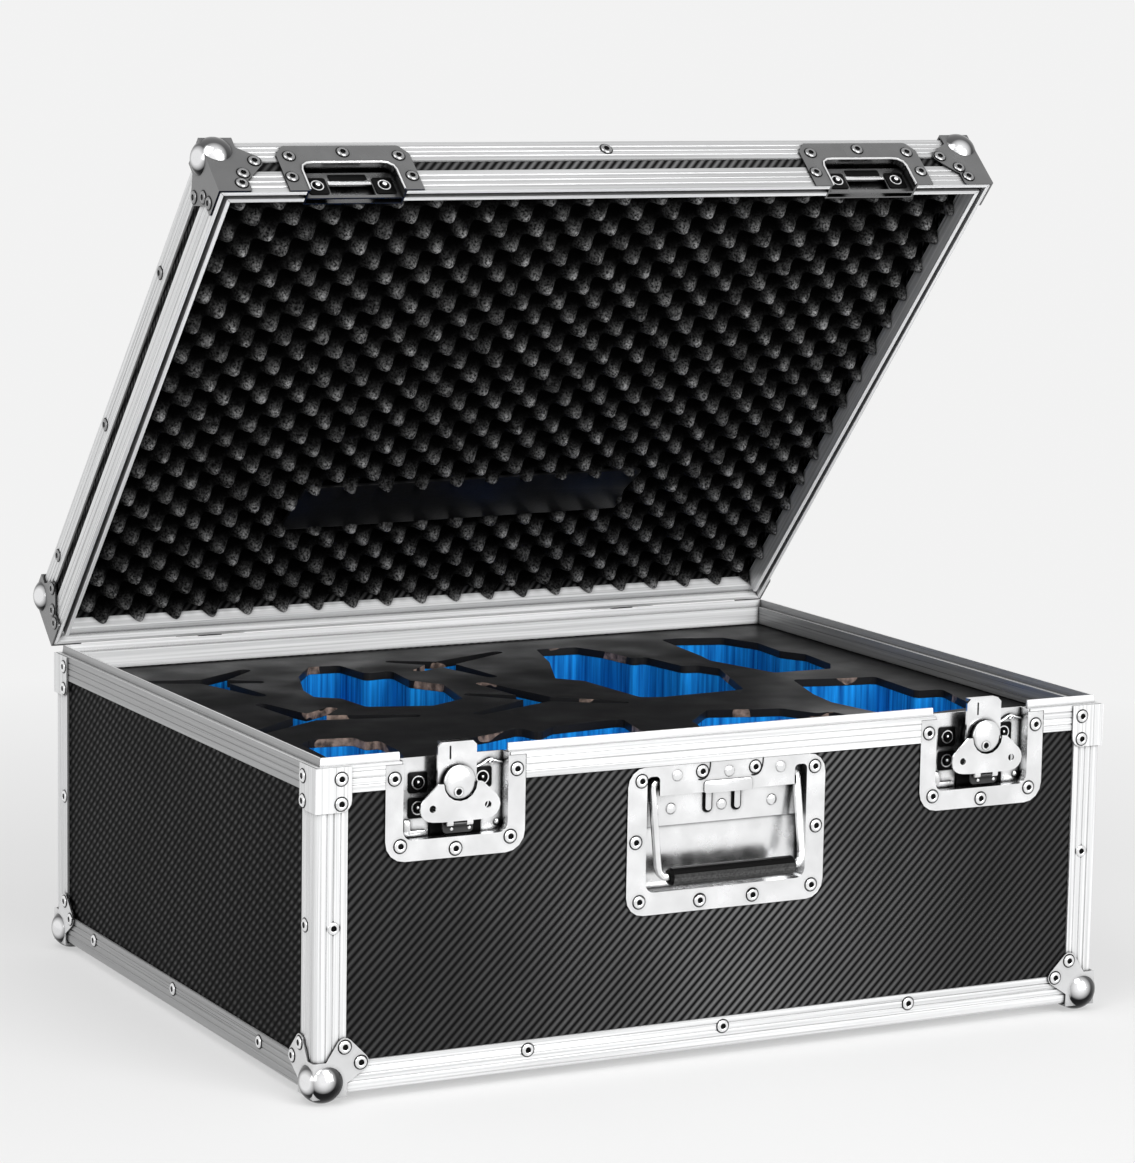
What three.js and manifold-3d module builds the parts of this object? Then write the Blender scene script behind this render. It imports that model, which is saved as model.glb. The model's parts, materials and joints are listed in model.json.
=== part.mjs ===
// A flight case with a hinged lid: laminated panels held in aluminium edge extrusions, steel ball
// corners, two recessed butterfly latches, a recessed handle and fitted foam. The lid stands open.
// Millimetres, +X to the right, +Y to the back, +Z up. The origin is the middle of the underside
// of the floor panel.

import * as THREE from 'three';
import { mergeVertices } from 'three/addons/utils/BufferGeometryUtils.js';
import Module from 'manifold-3d';

const wasm = await Module();
wasm.setup();

// Overall sizes, over the outer faces of the extrusions
const CASE_WIDTH = 650;
const CASE_DEPTH = 508;
const BASE_HEIGHT = 232;
const LID_HEIGHT = 52;
const LID_OPEN_ANGLE = 48;

// Clearance between pieces that touch, and the closed seam between base and lid
const FIT = 0.3;
const SEAM = 0.5;

// Panels and edge extrusions
const PANEL = 6.5;
const FLOOR_REBATE = 0.3;
const FLOOR_REBATE_WIDTH = 46;
const EDGE_WALL = 1.8;
const EDGE_FLANGE = 22.5;
const EDGE_ROUND = 3;
const LID_EDGE_FLANGE = 20.5;
const POST_FLANGE = 23.7;
const GROOVE_WIDTH = 1.4;
const GROOVE_DEPTH = 0.5;
const GROOVES = 3;

// Tongue rim of the base and groove rim of the lid
const RIM_HEIGHT = 19;
const RIM_INNER_HEIGHT = 14;
const RIM_WEB = 1.8;
const RIM_INNER_WALL = 1.2;
const TONGUE_INSET = 3.6;
const TONGUE_WIDTH = 2.7;
const TONGUE_HEIGHT = 6;
const TONGUE_TAPER = 0.6;
const TONGUE_PLAY = 0.6;
const TONGUE_HEADROOM = 1.4;
const LID_RIM_HEIGHT = 21;
const LID_RIM_INNER_HEIGHT = 18;

// Ball corners and the braces that go with them
const BALL_RADIUS = 16;
const BALL_INSET = 9;
const CORNER_PLATE = 1.5;
const FAN_LONG = 44;
const FAN_SHORT = 21;
const FAN_ROOT = 24;
const FAN_FLARE = 8;
const FAN_ROUND = 6;
const BRACE_WIDTH = 26;
const BRACE_HEIGHT = 32;
const BRACE_PLATE = 1.2;
const BRACE_ROUND = 8;
const LID_BRACE_WIDTH = 24;

// Recessed latches
const LATCH_FROM_END = 106.5;
const LATCH_X = CASE_WIDTH / 2 - LATCH_FROM_END;
const DISH_PLATE = 1.2;
const DISH_FLANGE_PLATE = 1.5;
const LATCH_DISH_WIDTH = 81.2;
const LATCH_DISH_BOTTOM = 56.5;
const LATCH_DISH_DEPTH = 12;
const LATCH_DISH_ROUND = 7;
const LATCH_FLANGE = 13.6;
const LATCH_FLANGE_ROUND = 15;
const LID_DISH_WIDTH = 76;
const LID_DISH_TOP = 28.5;
const LID_DISH_DEPTH = 13;
const LID_FLANGE_SIDE = 15;
const LID_FLANGE_TOP = 17;
const LID_FLANGE_CHAMFER = 7;
const KEEPER_PLATE = 1.5;
const KEEPER_SET = 6.5;
const KEEPER_BAR = 2.5;
const KEEPER_HEIGHT = 25;
const KEEPER_WINDOW = 10.5;

// Turning body of a latch, measured from its own axis and outward from the front plane
const ROTOR_DROP = 17;
const BOSS_RADIUS = 12;
const BOSS_FRONT = -7;
const SPINDLE_RADIUS = 3.5;
const LUG_BACK = 1.5;
const LUG_PLATE = 1.5;
const LUG_WIDTH = 24;
const LUG_REACH = 36;
const LUG_ROUND = 3;
const DISC_RADIUS = 12;
const DISC_RIM = 2.5;
const DISC_DOME = 2;
const DISC_STEP = 1.5;
const WING_HINGE_REACH = 29;
const WING_HINGE_OUT = 5.4;
const WING_BARREL = 1.5;
const WING_BARREL_HALF = 5;
const WING_BARREL_END = 10;
const WING_BACK = 5.5;
const WING_PLATE = 1.5;
const WING_LOBE_X = 21.4;
const WING_LOBE_REACH = 17;
const WING_LOBE_RADIUS = 9.5;
const WING_HOLE = 2.6;
const WING_SHOULDER = 17;
const WING_NOTCH_PLAY = 1;
const WING_FOOT_HALF = 14.5;
const WING_FOOT_REACH = 27;

// Hook of a latch
const HOOK_WIDTH = 30;
const HOOK_PLATE = 2;
const HOOK_TOP = 11.3;
const HOOK_BOTTOM = 27;
const HOOK_LIP = 5.2;
const HOOK_CHAMFER = 3;
const HOOK_SLOT_PLAY = 2;
const HOOK_SLOT_TOP = 6;
const HOOK_SLOT_BOTTOM = 22;

// Recessed handle
const HANDLE_DISH_WIDTH = 132.8;
const HANDLE_DISH_TOP = 25;
const HANDLE_DISH_BOTTOM = 111.5;
const HANDLE_DISH_DEPTH = 15;
const HANDLE_DISH_ROUND = 7;
const HANDLE_FLANGE_SIDE = 15.6;
const HANDLE_FLANGE_BOTTOM = 16.4;
const HANDLE_FLANGE_ROUND = 14;
const COVER_BOTTOM = 41;
const COVER_NOTCH_TOP = 26.5;
const NOTCH_PLAY = 1;
const LEDGE_BOTTOM = 65;
const LEDGE_DEPTH = 9;
const BAIL_PIVOT_DROP = 32;
const BAIL_PIVOT_IN = 5.4;
const BAIL_RADIUS = 3;
const BAIL_ABOVE_PIVOT = 2;
const BAIL_SIDE_GAP = 6.4;
const BAIL_HALF_WIDTH = HANDLE_DISH_WIDTH / 2 - BAIL_SIDE_GAP;
const BAIL_TURN_IN = 14;
const BAIL_END = BAIL_HALF_WIDTH - BAIL_TURN_IN;
const BAIL_BEND = 8;
const GRIP_DROP = 99;
const GRIP_OUT = 7;
const GRIP_RADIUS = 6.8;
const GRIP_END_GAP = 8;
const GRIP_LENGTH = 2 * (BAIL_HALF_WIDTH - GRIP_END_GAP);
const EAR_WIDTH = 6;
const EAR_HALF = 5.5;
const EAR_PLAY = 1;

// Hinges
const HINGE_FROM_END = 135;
const HINGE_X = CASE_WIDTH / 2 - HINGE_FROM_END;
const HINGE_OUT = 8;
const HINGE_DROP = 3.5;
const HINGE_WIDTH = 60;
const HINGE_LEAF = 1.5;
const HINGE_LEAF_HEIGHT = 17;
const HINGE_LEAF_START = 5;
const KNUCKLE_RADIUS = 4.5;
const KNUCKLE_HALF = 10;
const PIN_RADIUS = 2.5;

// Foam
const FOAM_PLAY = 0.5;
const FOAM_DROP = 15;
const FOAM_SHEET = 6;
const FOAM_NOTCH_PLAY = 1;
const POCKET_DEPTH = 120;
const LAYOUT_WIDTH = 628;
const LAYOUT_DEPTH = 486;
const EGG_PITCH = 32;
const EGG_PEAK = 10;
const EGG_VALLEY = 28;

// How finely round shapes are cut into facets: an arc gets two facets for each of its steps.
const ARC_STEPS = 2;
const FOAM_ARC_STEPS = 1;
const ROUND_SIDES = 16;
const ROD_SIDES = 10;
const BALL_SIDES = 16;

// Places worked out from the sizes above
const PANEL_SET = EDGE_WALL + FIT;
const UNDERSIDE = -PANEL_SET;
const PARTING = UNDERSIDE + BASE_HEIGHT;
const WALL_INNER = PANEL_SET + PANEL;
const RIM_WIDTH = WALL_INNER + FIT + RIM_INNER_WALL;
const MITRE_GAP = FIT * Math.SQRT1_2;
const CLEAR = 2 * CASE_WIDTH;

// Sides of the case: each is built as if it were the front one, then turned about Z.
const SIDES = {
  front: { turn: 0, length: CASE_WIDTH, reach: CASE_DEPTH / 2 },
  right: { turn: Math.PI / 2, length: CASE_DEPTH, reach: CASE_WIDTH / 2 },
  back: { turn: Math.PI, length: CASE_WIDTH, reach: CASE_DEPTH / 2 },
  left: { turn: -Math.PI / 2, length: CASE_DEPTH, reach: CASE_WIDTH / 2 },
};

// Vertical edges of the case, each with the turn that brings the front left one onto it.
const CORNERS = {
  front_left: { turn: 0, x: -1, y: -1 },
  front_right: { turn: Math.PI / 2, x: 1, y: -1 },
  back_right: { turn: Math.PI, x: 1, y: 1 },
  back_left: { turn: -Math.PI / 2, x: -1, y: 1 },
};

// Materials
function metal(color, roughness) {
  return new THREE.MeshStandardMaterial({ color, roughness, metalness: 1, flatShading: true });
}

function matt(color, roughness) {
  return new THREE.MeshStandardMaterial({ color, roughness, metalness: 0, flatShading: true });
}

const ALUMINIUM = metal(0xd4d6d8, 0.35);
const CHROME = metal(0xdfe1e4, 0.12);
const ZINC = metal(0xc9ccd0, 0.3);
const LAMINATE = matt(0x1c1c1e, 0.5);
const RUBBER = matt(0x0c0c0d, 0.6);
const BLUE_FOAM = matt(0x1073c9, 0.9);
const BLACK_FOAM = matt(0x141415, 0.95);

// Solids

// A closed geometry as a solid that can be joined and cut.
function solid(geometry) {
  geometry.deleteAttribute('normal');
  geometry.deleteAttribute('uv');
  const merged = mergeVertices(geometry, 1e-4);
  const corners = merged.index.array;
  const kept = [];
  for (let i = 0; i < corners.length; i += 3) {
    const [a, b, c] = corners.slice(i, i + 3);
    if (a !== b && b !== c && c !== a) kept.push(a, b, c);
  }
  const vertProperties = new Float32Array(merged.attributes.position.array);
  const triVerts = new Uint32Array(kept);
  return new wasm.Manifold(new wasm.Mesh({ numProp: 3, vertProperties, triVerts }));
}

// A solid as a named mesh of the scene.
function piece(name, body, material) {
  const { vertProperties, triVerts } = body.getMesh();
  const geometry = new THREE.BufferGeometry();
  geometry.setAttribute('position', new THREE.BufferAttribute(vertProperties, 3));
  geometry.setIndex(new THREE.BufferAttribute(triVerts, 1));
  geometry.computeVertexNormals();
  const mesh = new THREE.Mesh(geometry, material);
  mesh.name = name;
  return mesh;
}

// All solids of a list joined into one.
function join(bodies) {
  return bodies.reduce((whole, body) => whole.add(body));
}

// An outline whose corners, each [x, y, radius], are rounded by tangent arcs.
function outline(corners, Kind = THREE.Shape) {
  const path = new Kind();
  corners.forEach(([x, y, radius = 0], i) => {
    const here = new THREE.Vector2(x, y);
    const before = corners[(i + corners.length - 1) % corners.length];
    const after = corners[(i + 1) % corners.length];
    const back = new THREE.Vector2(before[0], before[1]).sub(here).normalize();
    const ahead = new THREE.Vector2(after[0], after[1]).sub(here).normalize();
    if (radius === 0) {
      if (i === 0) path.moveTo(x, y);
      else path.lineTo(x, y);
      return;
    }
    const half = Math.acos(THREE.MathUtils.clamp(back.dot(ahead), -1, 1)) / 2;
    const cut = radius / Math.tan(half);
    const middle = here.clone().addScaledVector(back.clone().add(ahead).normalize(), radius / Math.sin(half));
    const arcStart = here.clone().addScaledVector(back, cut);
    const start = arcStart.clone().sub(middle).angle();
    const end = here.clone().addScaledVector(ahead, cut).sub(middle).angle();
    const clockwise = back.cross(ahead) > 0;
    if (i > 0) path.lineTo(arcStart.x, arcStart.y);
    path.absarc(middle.x, middle.y, radius, start, end, clockwise);
  });
  path.closePath();
  return path;
}

// A shape drawn in x and y, extruded from z0 to z1.
function alongZ(shape, z0, z1, curveSegments = ARC_STEPS) {
  const settings = { depth: z1 - z0, bevelEnabled: false, curveSegments };
  const geometry = new THREE.ExtrudeGeometry(shape, settings);
  return solid(geometry.translate(0, 0, z0));
}

// A shape drawn in x and z, extruded from y0 to y1.
function alongY(shape, y0, y1) {
  const settings = { depth: y1 - y0, bevelEnabled: false, curveSegments: ARC_STEPS };
  const geometry = new THREE.ExtrudeGeometry(shape, settings);
  return solid(geometry.rotateX(Math.PI / 2).translate(0, y1, 0));
}

// A shape drawn in y and z, extruded from x0 to x1.
function alongX(shape, x0, x1) {
  const settings = { depth: x1 - x0, bevelEnabled: false, curveSegments: ARC_STEPS };
  const geometry = new THREE.ExtrudeGeometry(shape, settings);
  const toY = new THREE.Vector3(0, 1, 0);
  const toZ = new THREE.Vector3(0, 0, 1);
  const toX = new THREE.Vector3(1, 0, 0);
  geometry.applyMatrix4(new THREE.Matrix4().makeBasis(toY, toZ, toX));
  return solid(geometry.translate(x0, 0, 0));
}

function block([x0, x1], [y0, y1], [z0, z1]) {
  const geometry = new THREE.BoxGeometry(x1 - x0, y1 - y0, z1 - z0);
  return solid(geometry.translate((x0 + x1) / 2, (y0 + y1) / 2, (z0 + z1) / 2));
}

// A round bar along Y, from y0 to y1, with its axis at x, z.
function barY(radius, x, z, y0, y1) {
  const geometry = new THREE.CylinderGeometry(radius, radius, y1 - y0, ROUND_SIDES);
  return solid(geometry.translate(x, (y0 + y1) / 2, z));
}

// A round bar along X, from x0 to x1, with its axis at y, z.
function barX(radius, y, z, x0, x1) {
  const geometry = new THREE.CylinderGeometry(radius, radius, x1 - x0, ROUND_SIDES);
  return solid(geometry.rotateZ(Math.PI / 2).translate((x0 + x1) / 2, y, z));
}

// Panels

// The floor. Round its edge the underside is a little higher, under the extrusions and corners.
function floorPanel() {
  const x = CASE_WIDTH / 2 - PANEL_SET;
  const y = CASE_DEPTH / 2 - PANEL_SET;
  const inner = FLOOR_REBATE_WIDTH - PANEL_SET;
  const middle = block([inner - x, x - inner], [inner - y, y - inner], [0, PANEL]);
  return block([-x, x], [-y, y], [FLOOR_REBATE, PANEL]).add(middle);
}

// A base wall. The front and back walls run past the ends of the side walls.
function basePanel({ length, reach }, endInset) {
  const x = length / 2 - endInset;
  const top = PARTING - RIM_WEB - FIT;
  return block([-x, x], [PANEL_SET - reach, WALL_INNER - reach], [PANEL + FIT, top]);
}

// The square-cornered room that a dish takes up behind the front plane, with a clearance round it.
function dishRoom({ width, bottom, top, depth }, clearance) {
  const edge = DISH_PLATE + clearance;
  const half = width / 2 + edge;
  return block([-half, half], [0, depth + clearance], [-bottom - edge, edge - top]);
}

// The rooms of the two latch dishes, open at the top, and of the handle dish.
function frontRooms(clearance) {
  const latch = { width: LATCH_DISH_WIDTH, bottom: LATCH_DISH_BOTTOM, top: -CLEAR, depth: LATCH_DISH_DEPTH };
  const handle = {
    width: HANDLE_DISH_WIDTH,
    bottom: HANDLE_DISH_BOTTOM,
    top: HANDLE_DISH_TOP,
    depth: HANDLE_DISH_DEPTH,
  };
  const rooms = [-LATCH_X, LATCH_X].map((x) => dishRoom(latch, clearance).translate(x, 0, 0));
  rooms.push(dishRoom(handle, clearance));
  return join(rooms).translate(0, -SIDES.front.reach, PARTING);
}

// The front wall, with the windows that the latch dishes and the handle dish sit in.
function frontPanel() {
  return basePanel(SIDES.front, PANEL_SET).subtract(frontRooms(FIT));
}

function lidTopPanel() {
  const x = CASE_WIDTH / 2 - PANEL_SET;
  const y = CASE_DEPTH / 2 - PANEL_SET;
  const top = LID_HEIGHT - PANEL_SET;
  return block([-x, x], [-y, y], [top - PANEL, top]);
}

// The four lid walls as one ring, with the windows of the two lid latch dishes.
function lidWalls() {
  const heights = [TONGUE_HEIGHT + TONGUE_HEADROOM + RIM_WEB + FIT, LID_HEIGHT - PANEL_SET - PANEL - FIT];
  const ring = (inset, z) => {
    const x = CASE_WIDTH / 2 - inset;
    const y = CASE_DEPTH / 2 - inset;
    return block([-x, x], [-y, y], z);
  };
  const cuts = [-LATCH_X, LATCH_X].map((x) => lidCup(FIT).translate(x, -SIDES.front.reach, 0));
  return ring(PANEL_SET, heights).subtract(ring(WALL_INNER, [0, LID_HEIGHT])).subtract(join(cuts));
}

// Edge extrusions

// Shallow grooves along a face, from one end of the face to the other, as points [along, depth].
function grooves(from, to) {
  const points = [];
  const step = (to - from) / (GROOVES + 1);
  for (let i = 1; i <= GROOVES; i += 1) {
    const middle = from + i * step;
    const half = (Math.sign(step) * GROOVE_WIDTH) / 2;
    points.push([middle - half, 0], [middle, GROOVE_DEPTH], [middle + half, 0]);
  }
  return points;
}

// The section of a grooved angle with its outer corner at 0, 0.
function angleSection(flange) {
  return [
    [0, 0, EDGE_ROUND],
    ...grooves(EDGE_ROUND, flange),
    [flange, 0],
    [flange, EDGE_WALL],
    [EDGE_WALL, EDGE_WALL],
    [EDGE_WALL, flange],
    [0, flange],
    ...grooves(flange, EDGE_ROUND).map(([along, depth]) => [depth, along]),
  ];
}

// Cuts both ends of a front side's extrusion at 45 degrees, where it meets its neighbours.
function mitred(body, { length, reach }) {
  const end = length / 2 - MITRE_GAP;
  const deep = 2 * EDGE_FLANGE;
  const wedge = new THREE.Shape();
  wedge.moveTo(-end - FIT, -reach - FIT);
  wedge.lineTo(end + FIT, -reach - FIT);
  wedge.lineTo(end - deep, deep - reach);
  wedge.lineTo(deep - end, deep - reach);
  return body.intersect(alongZ(wedge, -CLEAR, CLEAR));
}

function extrudeSide(section, side) {
  const half = side.length / 2;
  return mitred(alongX(outline(section), -half, half), side);
}

function bottomEdge(side) {
  const section = angleSection(EDGE_FLANGE).map(([a, b, r]) => [a - side.reach, b + UNDERSIDE, r]);
  return extrudeSide(section, side);
}

function lidTopEdge(side) {
  const section = angleSection(LID_EDGE_FLANGE).map(([a, b, r]) => [a - side.reach, LID_HEIGHT - b, r]);
  return extrudeSide(section, side);
}

// The base rim: a channel over the panel's edge with a tongue on top, heights from the parting.
function baseRim(side) {
  const inner = RIM_WIDTH - RIM_INNER_WALL;
  const tongueBack = TONGUE_INSET + TONGUE_WIDTH;
  const section = [
    [0, -RIM_HEIGHT],
    [EDGE_WALL, -RIM_HEIGHT],
    [EDGE_WALL, -RIM_WEB],
    [inner, -RIM_WEB],
    [inner, -RIM_INNER_HEIGHT],
    [RIM_WIDTH, -RIM_INNER_HEIGHT],
    [RIM_WIDTH, 0],
    [tongueBack, 0],
    [tongueBack - TONGUE_TAPER, TONGUE_HEIGHT],
    [TONGUE_INSET + TONGUE_TAPER, TONGUE_HEIGHT],
    [TONGUE_INSET, 0],
    [0, 0],
    ...grooves(0, -RIM_HEIGHT).map(([along, depth]) => [depth, along]),
  ];
  return extrudeSide(section.map(([a, b]) => [a - side.reach, b + PARTING]), side);
}

// The lid rim, heights from the parting: a groove for the tongue below, a channel for the panel
// above. The back one has no lip inside the groove, because that lip would sweep into the tongue.
function lidRim(side, hasInnerLip) {
  const inner = RIM_WIDTH - RIM_INNER_WALL;
  const roof = TONGUE_HEIGHT + TONGUE_HEADROOM;
  const grooveFront = TONGUE_INSET - TONGUE_PLAY;
  const grooveBack = TONGUE_INSET + TONGUE_WIDTH + TONGUE_PLAY;
  const lip = [[RIM_WIDTH, SEAM], [grooveBack, SEAM], [grooveBack, roof]];
  const section = [
    [0, LID_RIM_HEIGHT],
    [EDGE_WALL, LID_RIM_HEIGHT],
    [EDGE_WALL, roof + RIM_WEB],
    [inner, roof + RIM_WEB],
    [inner, LID_RIM_INNER_HEIGHT],
    [RIM_WIDTH, LID_RIM_INNER_HEIGHT],
    ...(hasInnerLip ? lip : [[RIM_WIDTH, roof]]),
    [grooveFront, roof],
    [grooveFront, SEAM],
    [0, SEAM],
    ...grooves(SEAM, LID_RIM_HEIGHT).map(([along, depth]) => [depth, along]),
  ];
  return extrudeSide(section.map(([a, b]) => [a - side.reach, b]), side);
}

// A side lid rim. Its groove is open at the back end, where the base's back tongue passes.
function lidSideRim(side, backEnd) {
  const end = side.length / 2;
  const start = end - RIM_WIDTH;
  const y = [TONGUE_INSET - TONGUE_PLAY - side.reach, WALL_INNER + RIM_WIDTH - side.reach];
  const x = backEnd > 0 ? [start, end] : [-end, -start];
  return lidRim(side, true).subtract(block(x, y, [0, TONGUE_HEIGHT + TONGUE_HEADROOM]));
}

// The stretch of a front rim between two places along it.
function stretch(rim, from, to) {
  return rim.intersect(block([from, to], [-CLEAR, CLEAR], [-CLEAR, CLEAR]));
}

// The front base rim in three, each end cut back behind the flange of a latch dish.
function frontRims() {
  const cup = LATCH_DISH_WIDTH / 2 + DISH_PLATE + FIT;
  const flange = LATCH_DISH_WIDTH / 2 + LATCH_FLANGE + FIT;
  const front = -SIDES.front.reach;
  const y = [front - FIT, front + EDGE_WALL + FIT / 2];
  const z = [PARTING - RIM_HEIGHT - FIT, PARTING - RIM_WEB];
  const legs = [-LATCH_X, LATCH_X].map((x) => block([x - flange, x + flange], y, z));
  const rim = baseRim(SIDES.front).subtract(join(legs));
  return {
    left: stretch(rim, -CLEAR, -LATCH_X - cup),
    middle: stretch(rim, cup - LATCH_X, LATCH_X - cup),
    right: stretch(rim, LATCH_X + cup, CLEAR),
  };
}

function lidFrontRims() {
  const cup = LID_DISH_WIDTH / 2 + DISH_PLATE + FIT;
  const rim = lidRim(SIDES.front, true);
  return {
    left: stretch(rim, -CLEAR, -LATCH_X - cup),
    middle: stretch(rim, cup - LATCH_X, LATCH_X - cup),
    right: stretch(rim, LATCH_X + cup, CLEAR),
  };
}

// Corners: each is built with X, Y and Z running inward from the case's corner

// The same plate on both upright faces of a corner.
function wrap(shape, outer, inner) {
  return alongY(shape, outer, inner).add(alongX(shape, outer, inner));
}

// A vertical angle with the riveted brace that ties it to the rims.
function cornerPost() {
  const angle = outline(angleSection(POST_FLANGE));
  const rimBottom = BASE_HEIGHT - RIM_HEIGHT - FIT;
  const post = alongZ(angle, EDGE_FLANGE + FIT, rimBottom);
  const outer = -FIT - BRACE_PLATE;
  const bottom = BASE_HEIGHT - BRACE_HEIGHT;
  const plate = outline([
    [outer, bottom],
    [BRACE_WIDTH, bottom, BRACE_ROUND],
    [BRACE_WIDTH, BASE_HEIGHT - FIT],
    [outer, BASE_HEIGHT - FIT],
  ]);
  const packing = outline([
    [outer, bottom],
    [POST_FLANGE - BRACE_ROUND, bottom],
    [POST_FLANGE - BRACE_ROUND, rimBottom],
    [outer, rimBottom],
  ]);
  return join([post, wrap(plate, outer, -FIT), wrap(packing, outer, EDGE_WALL / 2)]);
}

// A steel ball corner with a fan-shaped plate on each of its three faces.
function ballCorner() {
  const outer = -FIT - CORNER_PLATE;
  const fan = outline([
    [outer, outer],
    [FAN_ROOT, outer],
    [FAN_ROOT, FAN_FLARE],
    [FAN_LONG, FAN_SHORT, FAN_ROUND],
    [FAN_SHORT, FAN_LONG, FAN_ROUND],
    [FAN_FLARE, FAN_ROOT],
    [outer, FAN_ROOT],
  ]);
  const ball = new THREE.SphereGeometry(BALL_RADIUS, BALL_SIDES, BALL_SIDES / 2);
  ball.translate(BALL_INSET, BALL_INSET, BALL_INSET);
  const inside = [-FIT, 2 * FAN_LONG];
  return join([wrap(fan, outer, -FIT), alongZ(fan, outer, -FIT), solid(ball)])
    .subtract(block(inside, inside, inside));
}

// A lid corner: a ball corner that goes on down to the rim as a brace.
function lidCorner() {
  const outer = -FIT - CORNER_PLATE;
  const brace = outline([
    [outer, FAN_SHORT],
    [LID_BRACE_WIDTH, FAN_SHORT],
    [LID_BRACE_WIDTH, LID_HEIGHT - SEAM, CORNER_PLATE],
    [outer, LID_HEIGHT - SEAM],
  ]);
  return ballCorner().add(wrap(brace, outer, -FIT));
}

// Latch dishes: X from the latch's middle, Y inward from the front plane, Z from the parting

// An outline open at the top: a box with two rounded lower corners.
function dishOutline(half, bottom, top, round) {
  return outline([[-half, top], [-half, bottom, round], [half, bottom, round], [half, top]]);
}

// The outside of a base latch dish, open at the top.
function latchCup() {
  const half = LATCH_DISH_WIDTH / 2 + DISH_PLATE;
  const shape = dishOutline(half, -LATCH_DISH_BOTTOM - DISH_PLATE, 0, LATCH_DISH_ROUND + DISH_PLATE);
  return alongY(shape, 2 * FIT, LATCH_DISH_DEPTH);
}

function latchDish() {
  const half = LATCH_DISH_WIDTH / 2;
  const flangeBottom = -LATCH_DISH_BOTTOM - LATCH_FLANGE - DISH_PLATE;
  const rim = -RIM_WEB - FIT;
  const flange = dishOutline(half + LATCH_FLANGE, flangeBottom, rim, LATCH_FLANGE_ROUND);
  const inside = dishOutline(half, -LATCH_DISH_BOTTOM, CLEAR, LATCH_DISH_ROUND);
  return alongY(flange, FIT, FIT + DISH_FLANGE_PLATE)
    .add(latchCup())
    .subtract(alongY(inside, -FIT, LATCH_DISH_DEPTH - DISH_PLATE));
}

// The outside of a lid latch dish, grown all round. It is open at the bottom.
function lidCup(grow) {
  const edge = DISH_PLATE + grow;
  const half = LID_DISH_WIDTH / 2 + edge;
  const shape = outline([
    [-half, SEAM - grow],
    [half, SEAM - grow],
    [half, LID_DISH_TOP + edge, LATCH_DISH_ROUND + edge],
    [-half, LID_DISH_TOP + edge, LATCH_DISH_ROUND + edge],
  ]);
  return alongY(shape, -2 * FIT, LID_DISH_DEPTH + grow);
}

// The lid's latch dish, with the keeper plate whose window takes the hook's lip.
function lidLatchDish() {
  const half = LID_DISH_WIDTH / 2;
  const side = half + LID_FLANGE_SIDE;
  const top = LID_DISH_TOP + LID_FLANGE_TOP;
  const shoulder = top - LID_FLANGE_CHAMFER - CORNER_PLATE;
  const flange = outline([
    [-side, SEAM],
    [side, SEAM],
    [side, shoulder, LID_FLANGE_CHAMFER / 2],
    [side - LID_FLANGE_CHAMFER, top, LID_FLANGE_CHAMFER / 2],
    [LID_FLANGE_CHAMFER - side, top, LID_FLANGE_CHAMFER / 2],
    [-side, shoulder, LID_FLANGE_CHAMFER / 2],
  ]);
  const inside = outline([
    [-half, -CLEAR],
    [half, -CLEAR],
    [half, LID_DISH_TOP, LATCH_DISH_ROUND],
    [-half, LID_DISH_TOP, LATCH_DISH_ROUND],
  ]);
  const windowHalf = HOOK_WIDTH / 2 + KEEPER_BAR;
  const keeper = block(
    [-half - FIT, half + FIT],
    [KEEPER_SET, KEEPER_SET + KEEPER_PLATE],
    [SEAM, SEAM + KEEPER_HEIGHT],
  ).subtract(block(
    [-windowHalf, windowHalf],
    [0, LID_DISH_DEPTH],
    [SEAM + KEEPER_BAR, SEAM + KEEPER_BAR + KEEPER_WINDOW],
  ));
  return alongY(flange, -FIT - DISH_PLATE, -FIT)
    .add(lidCup(0))
    .subtract(alongY(inside, -CLEAR, LID_DISH_DEPTH - DISH_PLATE))
    .add(keeper);
}

// Latch mechanism

// The turning body about its own axis: a boss on the dish, a spindle through the hook, the lug
// that carries the wing and the domed disc in front.
function latchRotor() {
  const lugFront = LUG_BACK + LUG_PLATE;
  const half = LUG_WIDTH / 2;
  const lug = outline([
    [-half, -LUG_REACH, LUG_ROUND],
    [half, -LUG_REACH, LUG_ROUND],
    [half - LUG_ROUND, 0],
    [LUG_ROUND - half, 0],
  ]);
  const dome = [
    [0, -lugFront - DISC_RIM - DISC_DOME],
    [DISC_RADIUS / 2, -lugFront - DISC_RIM - DISC_STEP],
    [DISC_RADIUS, -lugFront - DISC_RIM],
    [DISC_RADIUS, -LUG_BACK - LUG_PLATE / 2],
    [0, -LUG_BACK - LUG_PLATE / 2],
  ].map(([x, y]) => new THREE.Vector2(x, y));
  const barrelWeb = block(
    [FIT - WING_BARREL_HALF, WING_BARREL_HALF - FIT],
    [-WING_HINGE_OUT, -LUG_BACK - LUG_PLATE / 2],
    [-WING_HINGE_REACH - WING_BARREL / 2, -WING_HINGE_REACH + WING_BARREL / 2],
  );
  return join([
    barY(BOSS_RADIUS, 0, 0, -BOSS_FRONT, LATCH_DISH_DEPTH - DISH_PLATE - FIT),
    barY(SPINDLE_RADIUS, 0, 0, -LUG_BACK - LUG_PLATE / 2, -BOSS_FRONT + FIT),
    alongY(lug, -lugFront, -LUG_BACK),
    solid(new THREE.LatheGeometry(dome, ROUND_SIDES)),
    barX(WING_BARREL, -WING_HINGE_OUT, -WING_HINGE_REACH, -WING_BARREL_HALF, WING_BARREL_HALF),
    barrelWeb,
  ]);
}

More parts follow.
